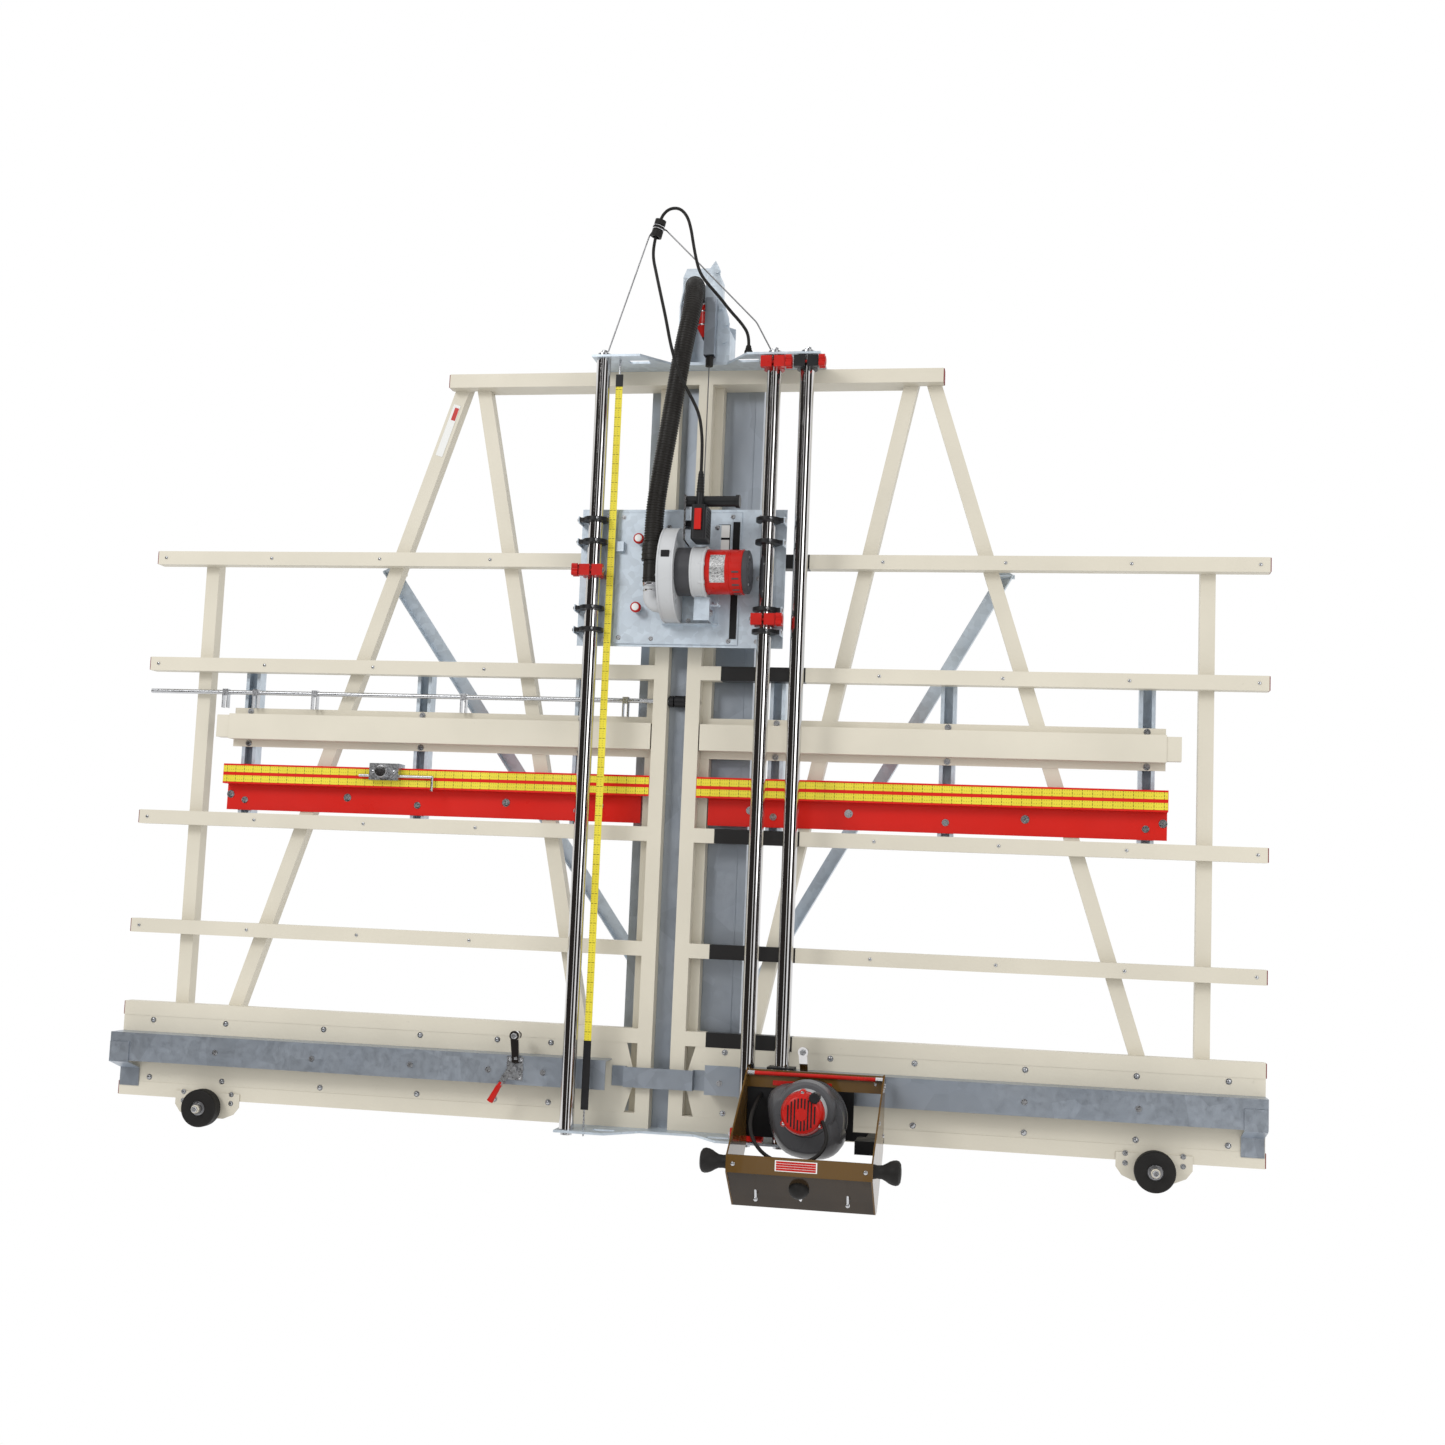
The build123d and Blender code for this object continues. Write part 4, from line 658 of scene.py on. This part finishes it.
collar = Solid("elbow_clamp", "bright", "turntable", 0.5)
collar.lathe((ELBOW_X, ELBOW_W, 1150), (0, 0, 1), [(0, 21.8), (1.2, 22.8), (9, 22.8), (10, 21.8)], 48)
collar.lathe((ELBOW_X, ELBOW_W, 1136), (0, 0, 1), [(0, 20.2), (1, 21.4), (5, 21.4), (6, 20.2)], 48)
collar.block(-56, -42, -178, -170, 1151, 1159)
collar.rod((-60, -174, 1155), (-38, -174, 1155), 2.6, 12)
collar.finish()
cuff_rings = Solid("cuff_rings", "hose_black", "turntable", 0.5)
for v, radius in ((1162, 23.2), (1170, 23.2), (1206, 23.2), (1220, 28.2), (1232, 28.2), (1244, 28.2),
                  (1254, 28.2)):
    cuff_rings.lathe((ELBOW_X, ELBOW_W, v), (0, 0, 1),
                     [(0, radius - 0.8), (1, radius + 1.2), (3, radius + 1.2), (4, radius - 0.8)], 48)
cuff_rings.finish()

foot_bolts = Solid("saw_foot_bolts", "zinc", "turntable", 0.3)
for x, v in ((-22, 1072), (40, 1072), (98, 1072), (-22, 1322), (48, 1322), (108, 1322), (112, 1188)):
    foot_bolts.bolt((x, -81.5, v), (0, -1, 0), 4.6, 4.5)
foot_bolts.bolt((107, -128, 1086), (1, 0, 0), 7, 6)
foot_bolts.bolt((107, -112, 1112), (1, 0, 0), 5, 5)
foot_bolts.finish()
turn_bolts = Solid("turntable_bolts", "zinc", "turntable", 0.3)
for x, v in ((-148, 1350), (-148, 1026), (148, 1352), (148, 1020), (-60, 1350), (60, 1350), (-60, 1024)):
    turn_bolts.bolt((x, -78.5, v), (0, -1, 0), 4.2, 3.6)
turn_bolts.finish()

buttons = Solid("index_buttons", "red_plastic", "index_pins", 0.6)
button_faces = Solid("index_button_faces", "white_plastic", "index_pins", 0.4)
for x, v in ((-98.0, 1287.0), (-98.0, 1103.0)):
    buttons.lathe((x, -102.3, v), (0, -1, 0), [(0, 13.2), (1, 14), (9, 14), (11, 12.6), (11.4, 10.5)], 40)
    button_faces.lathe((x, -113.4, v), (0, -1, 0), [(0, 9.8), (1.4, 9.6), (2.2, 8.2)], 40)
buttons.finish()
button_faces.finish()

ring_bolts = Solid("bearing_bolts", "zinc", "saw_carriage", 0.3)
for v in RING_LEVELS:
    for x, direction in ((-262.0, -1), (292.0, 1)):
        ring_bolts.bolt((x, -111, v), (direction, 0, 0), 5, 4)
for x in (LEFT_TUBE, MIDDLE_TUBE):
    for v in RING_LEVELS:
        ring_bolts.bolt((x + 10, -113 - 31, v), (0, -1, 0), 2.6, 3)
for x, v in ((-190, 1352), (-190, 1020), (222, 1352), (222, 1020), (-190, 1188), (222, 1188)):
    ring_bolts.bolt((x, -75.0, v), (0, -1, 0), 4.4, 4)
ring_bolts.finish()

grip_lines = Solid("grip_ridges", "black_rubber", "turntable", 0.4)
for k in range(9):
    v = 1272 + 8.4 * k
    grip_lines.block(65.2, 104.8, -213, -160, v, v + 3.4)
grip_lines.finish()
relief = Solid("strain_relief", "black_rubber", "turntable", 0.4)
for k in range(7):
    v = 1384 + 7.6 * k
    radius = 10.6 - 0.52 * k
    relief.lathe((84, -215, v), (0, 0, 1),
                 [(0, radius - 1.2), (0.8, radius), (3.6, radius), (4.4, radius - 1.2)], 32)
relief.finish()

# ---------------------------------------------------------------- tower, stops, frame pieces

gland = Solid("gland_ribs", "black_rubber", "frame", 0.4)
for k in range(3):
    v = 1789 + 5 * k
    radius = 9.6 - 1.2 * k
    gland.lathe((*CORD_EXIT[:2], v), (0, 0, 1),
                [(0, radius - 1), (0.7, radius), (2.6, radius), (3.3, radius - 1)], 32)
gland.finish()
tape_ends = Solid("tape_ends", "black_plastic", "frame", 0.2)
for low, high in ((1702, 1735.5), (-205.5, -30)):
    tape_ends.block(-183, -163, -101.8, -99.9, low, high)
tape_ends.finish()
wraps = Solid("grommet_wire", "bright", "frame")
tilt = math.radians(14)
for along in (-4.0, 4.0):
    ring = []
    for k in range(40):
        turn = math.tau * k / 40
        across, back = 15.0 * math.cos(turn), 15.0 * math.sin(turn)
        ring.append(at(-78 + across * math.cos(tilt) + along * math.sin(tilt), -130 + back,
                       2128 - across * math.sin(tilt) + along * math.cos(tilt)))
    wraps.sweep(ring, 1.6, 10, closed=True)
wraps.finish()
collar_screws = Solid("collar_screws", "zinc", "frame", 0.3)
for x, v in ((MIDDLE_TUBE, 1752.0), (RIGHT_TUBE, 1752.0), (MIDDLE_TUBE, -236.0)):
    collar_screws.bolt((x - 32, -141, v), (-1, 0, 0), 5.2, 4.5)
for x in (LEFT_TUBE, MIDDLE_TUBE, RIGHT_TUBE):
    collar_screws.lathe((x, -113, 1794), (0, 0, 1), [(0, 9), (3, 9), (4.5, 7)], 6)
collar_screws.finish()
lock_screws = Solid("lock_screws", "zinc", "saw_carriage", 0.3)
lock_screws.bolt((LEFT_TUBE + 32, -141, 1195), (1, 0, 0), 5.2, 4.5)
lock_screws.bolt((MIDDLE_TUBE - 32, -141, 1069), (-1, 0, 0), 5.2, 4.5)
lock_screws.finish()

skin_screws = Solid("beam_screws", "zinc", "frame", 0.3)
for x in (-1436, -1222, -937, -662, -446, -298, 170, 446, 662, 940, 1214, 1436):
    for v in (-49, -205):
        skin_screws.bolt((x, 1.0, v), (0, -1, 0), 5.2, 4.2)
for x in (-1500, -1180, -860, -540, 540, 860, 1180, 1500):
    for top in (1268.0, 964.0, 531.0, 228.0):
        skin_screws.lathe((x, 0.0, top - 19), (0, -1, 0), [(0, 4.4), (1.6, 4.2), (2.4, 2.8)], 20)
skin_screws.finish()
tower_nuts = Solid("tower_nuts", "zinc", "frame", 0.3)
for x, w in ((-42, -42), (-42, 28), (118, -42), (118, 28)):
    tower_nuts.bolt((x, w, 1783.0), (0, 0, 1), 4.6, 6)
tower_nuts.finish()
balancer_bands = Solid("balancer_bands", "bright", "frame", 0.3)
for v in (1889, 1926):
    balancer_bands.lathe((38, -24, v), (0, 0, 1), [(0, 20.1), (0.6, 20.9), (3.4, 20.9), (4, 20.1)], 40)
balancer_bands.finish()
duct_seams = Solid("duct_seams", "galvanised", "frame", 0.4)
for x in (-108, 182):
    duct_seams.block(x - 5, x + 5, 166, 168.4, -60, 1736)
for v in (250, 740, 1240, 1700):
    duct_seams.block(-118, 192, 166, 168.2, v - 9, v + 9)
duct_seams.finish()
brace_label = Solid("brace_label", "label_white", "frame", 0.2)
brace_label.plate([(-683, 1700), (-663, 1694), (-709, 1548), (-729, 1554)], 37.0, 38.1)
brace_label.finish()
brace_label_edge = Solid("brace_label_edge", "red_plastic", "frame", 0.2)
brace_label_edge.plate([(-679, 1690), (-667, 1686.4), (-678, 1651), (-690, 1654.6)], 36.7, 37.2)
brace_label_edge.finish()

for body, x in (("left_wheel", -WHEEL_X), ("right_wheel", WHEEL_X)):
    hub = Solid(body + "_hub_ring", "wire", body, 0.4)
    hub.lathe((x, -52, WHEEL_V), (0, -1, 0), [(0, 19), (1.4, 19.4), (3.2, 18.2), (3.6, 14.1)], 40)
    hub.finish()
    tread = Solid(body + "_tread", "black_rubber", body, 0.4)
    for w in (-48, -38, -28):
        tread.lathe((x, w - 1.5, WHEEL_V), (0, 1, 0), [(0, 49.2), (0.6, 50.4), (2.4, 50.4), (3, 49.2)], 72)
    tread.finish()
axle_nuts = Solid("axle_nuts", "zinc", "frame", 0.4)
for x in (-WHEEL_X, WHEEL_X):
    axle_nuts.lathe((x, -73, WHEEL_V), (0, -1, 0), [(0, 9), (5, 9), (6.4, 7.4)], 6)
    for dx, v in ((-70, -262), (70, -262), (-70, -238), (70, -238)):
        axle_nuts.bolt((x + dx, -4.2, v), (0, -1, 0), 4.6, 4)
axle_nuts.finish()

# ---------------------------------------------------------------- router pieces

ROUTER_X, ROUTER_V = 423.0, -150.0
HOUSING_OUTLINE = [(318, -124), (330, -208), (362, -261), (423, -275), (486, -267), (518, -222), (497, -161),
                   (466, -116), (420, -98), (352, -96)]


def cast_outline(points):
    """The housing's outline with its corners cut twice, so that it reads as a casting."""
    for _ in range(2):
        cuts = []
        for (x0, v0), (x1, v1) in zip(points, points[1:] + points[:1]):
            cuts.append((x0 * 0.75 + x1 * 0.25, v0 * 0.75 + v1 * 0.25))
            cuts.append((x0 * 0.25 + x1 * 0.75, v0 * 0.25 + v1 * 0.75))
        points = cuts
    return points


def shrink(points, share):
    x0 = sum(x for x, _ in points) / len(points)
    v0 = sum(v for _, v in points) / len(points)
    return [(x0 + (x - x0) * share, v0 + (v - v0) * share) for x, v in points]


housing = Solid("router_housing", "grey_cast", "router_carriage", 2.5)
# depth, and the share of the outline's size there
HOUSING_LEVELS = ((-187, 1.0), (-236, 1.0), (-262, 0.93), (-290, 0.78), (-294, 0.74))
housing.loft([[(x, w, v) for x, v in shrink(cast_outline(HOUSING_OUTLINE), share)]
              for w, share in HOUSING_LEVELS])
housing.finish()
collar_ring = Solid("router_collar", "grey_cast", "router_carriage", 1.0)
collar_ring.lathe((ROUTER_X, -262, ROUTER_V), (0, -1, 0),
                  [(0, 70), (2, 72), (28, 68), (34, 62), (34, 53.6)], 64)
collar_ring.finish()
cap = Solid("router_cap", "red_plastic", "router_motor", 1.0)
cap.lathe((ROUTER_X, -346, ROUTER_V), (0, -1, 0),
          [(0, 50.4), (3, 52), (16, 50), (26, 45), (29.6, 40), (30.4, 15), (31.2, 14), (31.2, 0.1)], 64)
EARS = [(ROUTER_X + 50 * math.cos(math.radians(a)), ROUTER_V + 50 * math.sin(math.radians(a)))
        for a in (90, 210, 330)]
for x, v in EARS:
    cap.lathe((x, -346, v), (0, -1, 0), [(0, 8), (14, 8), (18, 6)], 24)
cap.finish()
# near-black bars on the cap stand for its vent slots: painted shade in the openings
cap_slot_shade = Solid("router_cap_slot_shade", "slot_shade_and_ink", "router_motor", 0.3)
for dx in (-32, -24, -16, -8, 0, 8, 16, 24, 32):
    high = math.sqrt(38.0**2 - dx**2)
    low = math.sqrt(15.0**2 - dx**2) if abs(dx) < 15 else 0.0
    for sign in (-1, 1):
        cap_slot_shade.block(ROUTER_X + dx - 1.7, ROUTER_X + dx + 1.7, -377, -374.5,
                        ROUTER_V + sign * low, ROUTER_V + sign * high)
cap_slot_shade.finish()
cap_screws = Solid("router_cap_screws", "zinc", "router_motor", 0.3)
for x, v in EARS:
    cap_screws.lathe((x, -364, v), (0, -1, 0), [(0, 4), (1.4, 4), (2, 2.6)], 20)
cap_screws.finish()
speed_knob = Solid("router_knob", "black_plastic", "router_motor", 0.8)
speed_knob.lathe((453, -371, -110), (0, -1, 0), [(0, 12.4), (8, 12.4), (10, 10.6), (10.4, 5)], 36)
for k in range(12):
    a = math.tau * k / 12
    x, v = 453 + 12.4 * math.cos(a), -110 + 12.4 * math.sin(a)
    speed_knob.rod((x, -372, v), (x, -379, v), 1.4, 8)
speed_knob.finish()

shield_screws = Solid("shield_screws", "zinc", "router_carriage", 0.3)
for x in (258.0, 602.0):
    side = -1 if x < 400 else 1
    for w, v in ((-176, -92), (-176, -212), (-210, -100), (-300, -168)):
        shield_screws.lathe((x, w, v), (side, 0, 0), [(0, 5), (1.6, 4.8), (2.4, 3.2)], 20)
for x in (275, 585):
    shield_screws.lathe((x, -440, -264), (0, -1, 0), [(0, 5), (1.6, 4.8), (2.4, 3.2)], 20)
shield_screws.finish()
band_label = Solid("shield_band_label", "label_white", "router_carriage", 0.2)
band_label.block(374, 473, -441, -440, -274, -249)
band_label.finish()
band_red = Solid("shield_band_red", "red_plastic", "router_carriage", 0.2)
for v in (-272, -266.5, -261, -255.5):
    band_red.block(377, 470, -441.6, -440.6, v, v + 4.4)
band_red.finish()
top_strip = Solid("shield_top_strip", "red_plastic", "router_carriage", 0.2)
top_strip.block(325, 472, -181, -180, -106, -94)
top_strip.finish()
lower_pane = Solid("shield_lower_pane", "smoked", "router_carriage", 0.3)
lower_pane.side_plate([(-436, -283), (-433, -286), (-329, -374), (-332, -376)], 262, 598)
lower_pane.finish()
chains = Solid("shield_catches", "zinc", "router_carriage", 0.3)
for x in (322, 540):
    chains.rod((x, -395, -300), (x, -372, -352), 3, 12)
    chains.lathe((x, -398, -296), (0, -1, 0), [(0, 6), (4, 6), (5, 4)], 20)
    chains.lathe((x, -372, -352), (0, -1, 0), [(0, 5), (4, 5), (5, 3)], 20)
chains.finish()
mushrooms = Solid("shield_grips", "black_rubber", "router_carriage", 0.4)
for edge, side in ((258.0, -1), (602.0, 1)):
    mushrooms.lathe((edge, -420, -263), (side, 0, 0),
                    [(0, 17), (8, 15), (20, 16), (28, 20), (36, 25), (44, 28), (52, 29), (58, 27), (62, 21),
                     (63.5, 10), (63.5, 0.1)], 48)
mushrooms.finish()
tie_ends = Solid("tie_rod_ends", "bright", "router_carriage", 0.3)
tie_ends.rod((262.4, -188, -77), (280, -188, -77), 5.6, 24).rod((580, -188, -77), (597.6, -188, -77), 5.6, 24)
tie_ends.finish()
carrier_bolts = Solid("carrier_bolts", "zinc", "router_carriage", 0.3)
for x, w, v in ((316, -146, -78), (316, -146, -116), (316, -146, -182), (316, -146, -222), (356, -146, -78),
                (356, -146, -222)):
    carrier_bolts.bolt((x, w, v), (0, -1, 0), 5, 5)
for x, v in ((579, -90), (579, -226)):
    carrier_bolts.bolt((x, -176, v), (0, -1, 0), 5, 4)
carrier_bolts.finish()

# ---------------------------------------------------------------- clamps and stops

for side, x in (("left", -373.0), ("right", 387.0)):
    pad = Solid(side + "_clamp_pad", "black_rubber", side + "_clamp_arm", 0.8)
    pad.lathe((x - 2, -52, -30), (0, 1, 0), [(0, 8), (1, 10), (5, 10), (6, 8.4)], 32)
    pad.finish()
    nuts = Solid(side + "_clamp_nuts", "zinc", side + "_clamp_arm", 0.3)
    nuts.lathe((x - 2, -83.5, -30), (0, -1, 0), [(0, 8), (5, 8), (6, 6.6)], 6)
    nuts.rod((x - 2, -89, -30), (x - 2, -97, -30), 3.4, 16)
    nuts.finish()
    rivets = Solid(side + "_clamp_rivets", "zinc", "frame", 0.3)
    for dx, v in ((-14, -138), (14, -138), (-14, -92), (16, -92)):
        rivets.lathe((x + dx, -69, v), (0, -1, 0), [(0, 4), (1.4, 3.8), (2.4, 2)], 20)
    rivets.finish()
stop_bolts = Solid("flip_stop_screws", "zinc", "flip_stop", 0.3)
for dx in (-26, 34):
    stop_bolts.lathe((-805 + dx, -24, 655), (0, -1, 0), [(0, 5), (2.4, 5), (3.2, 3.8)], 24)
stop_bolts.finish()
flip_face = Solid("flip_knob_face", "bright", "flip_stop_knob", 0.4)
flip_face.lathe((-805, -38, 656), (0, -1, 0), [(0, 16.5), (1, 15.8), (1.6, 12)], 40)
for k in range(18):
    a = math.tau * k / 18
    x, v = -805 + 18 * math.cos(a), 656 + 18 * math.sin(a)
    flip_face.rod((x, -26, v), (x, -37, v), 1.1, 8)
flip_face.finish()
for name, body, x, w, v, side in (
        ("middle_top", "stop_knob_middle_top", MIDDLE_TUBE, -141, 1752, 1),
        ("right_top", "stop_knob_right_top", RIGHT_TUBE, -141, 1752, 1),
        ("middle_low", "stop_knob_middle_low", MIDDLE_TUBE, -141, -236, 1),
        ("lock_left", "lock_knob_left", LEFT_TUBE, -141, 1195, -1),
        ("lock_right", "lock_knob_right", MIDDLE_TUBE, -141, 1069, 1)):
    face = Solid(name + "_knob_face", "red_plastic", body, 0.6)
    start = x + side * 50
    face.lathe((start, w, v), (side, 0, 0), [(0, 12), (1.4, 11.4), (2.2, 8), (2.2, 0.1)], 40)
    face.finish()


# ---------------------------------------------------------------- hose and cords

def cut(points, height):
    """Index of the first point at or past a height, going along the line."""
    rising = height_of(points[0]) < height
    for k, point in enumerate(points):
        if (height_of(point) >= height) == rising:
            return k
    return len(points) - 1


def cord_piece(name, points, radius, material, sides=16):
    return Solid(name, material, None).sweep(points, radius, sides).make()


def ribbed(points):
    """Radius along the hose: two points on each rib and two in each groove."""
    last = len(points) - 1
    return lambda share: HOSE_R if round(share * last) % 4 < 2 else HOSE_R - 2.0


hose_line = evenly(spline_points(HOSE_ROUTE), 0.0017)
swivel = cut(hose_line, 1396)
lower_hose, upper_hose = hose_line[:swivel + 1], hose_line[swivel:]
hose_end = cord_piece("hose_swivel_end", lower_hose, ribbed(lower_hose), "hose_black", 36)
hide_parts("dust_hose")
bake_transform(hose_end)
hose = cord_piece("dust_hose_upper", upper_hose, ribbed(upper_hose), "hose_black", 36)
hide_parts("dust_hose")
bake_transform(hose)
inlet = Solid("inlet_cuff", "hose_black", "frame", 0.5)
inlet.lathe((INLET_X, INLET_W, 1786), (0, 0, 1), [(0, 25.4), (1, 26.6), (24, 26.6), (26, 25.2)], 48)
inlet.lathe((INLET_X, INLET_W, 1794), (0, 0, 1), [(0, 26.4), (1, 27.8), (7, 27.8), (8, 26.4)], 48)
inlet.finish()

cord_line = evenly(spline_points(POWER_ROUTE), 0.006)
loop_end = max(range(len(cord_line)), key=lambda k: height_of(cord_line[k]))
loop_end += cut(cord_line[loop_end:], 2100)
hang_end = loop_end + cut(cord_line[loop_end:], 1610)
CORD_PARTS = (
    ("power_cord_loop", cord_line[:loop_end + 1], None),
    ("power_cord_hanging", cord_line[loop_end:hang_end + 1],
     ("frame", "saw_carriage", at(-60, -130, 2100), at(-60, -130, 1620))),
    ("power_cord_lower", cord_line[hang_end:],
     ("saw_carriage", "turntable", at(84, -215, 1605), at(84, -215, 1445))),
)
for name, line, between in CORD_PARTS:
    piece = cord_piece(name, line, CORD_R, "black_rubber")
    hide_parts("power_cord")
    if between:
        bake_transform(piece)
    else:
        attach(piece, "frame")

cable_line = evenly(spline_points(CABLE_ROUTE), 0.012)
cable = cord_piece("saw_cable_line", cable_line, CABLE_R, "wire", 10)
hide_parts("saw_cable")
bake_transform(cable)
ferrule = Solid("cable_ferrule", "bright", "saw_carriage", 0.3)
ferrule.lathe((CABLE_X, CABLE_W, 1374), (0, 0, 1), [(0, 4), (14, 4), (17, 2.2)], 20)
ferrule.finish()

router_line = evenly(spline_points(ROUTER_CORD_ROUTE), 0.005)
router_cord = cord_piece("router_cord_loop", router_line, ROUTER_CORD_R, "black_rubber")
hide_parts("router_cord")
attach(router_cord, "router_carriage")


# ---------------------------------------------------------------- studio

def card(name, x, y, width, height):
    """A tall dark card that only mirrors see; it stands on the floor and faces the machine."""
    mesh = bpy.data.meshes.new(name)
    corners = [(-width / 2, 0, 0), (width / 2, 0, 0), (width / 2, 0, height), (-width / 2, 0, height)]
    mesh.from_pydata(corners, [], [(0, 1, 2, 3)])
    mesh.materials.append(CARD_BLACK)
    obj = bpy.data.objects.new(name, mesh)
    bpy.context.collection.objects.link(obj)
    obj.location = (x, y, 0)
    obj.rotation_euler = (0, 0, -math.atan2(-x, -y))
    obj.visible_camera = obj.visible_diffuse = obj.visible_shadow = obj.visible_transmission = False


def area_light(name, place, target, size, power):
    data = bpy.data.lights.new(name, "AREA")
    data.shape, data.size, data.energy = "DISK", size, power
    obj = bpy.data.objects.new(name, data)
    bpy.context.collection.objects.link(obj)
    obj.location = place
    obj.rotation_euler = (Vector(target) - Vector(place)).to_track_quat("-Z", "Y").to_euler()


CARD_BLACK = moulded("card_black", (0.020, 0.016, 0.014), 0.9)
card("card_left", -3.6, -3.4, 8.6, 9.0)
card("card_middle", 1.7, -5.4, 3.0, 9.0)
card("card_right", 4.8, -1.4, 3.4, 9.0)
area_light("key", (-3.5, -5.0, 5.5), (0, 0, 1.0), 2.5, 170)
area_light("fill", (4.5, -4.0, 3.0), (0, 0, 1.0), 3.0, 60)
world = bpy.data.worlds.new("studio")
world.use_nodes = True
world.node_tree.nodes["Background"].inputs["Color"].default_value = (1.0, 1.0, 1.0, 1)
world.node_tree.nodes["Background"].inputs["Strength"].default_value = 1.0
bpy.context.scene.world = world
bpy.context.scene.view_settings.view_transform = "Standard"
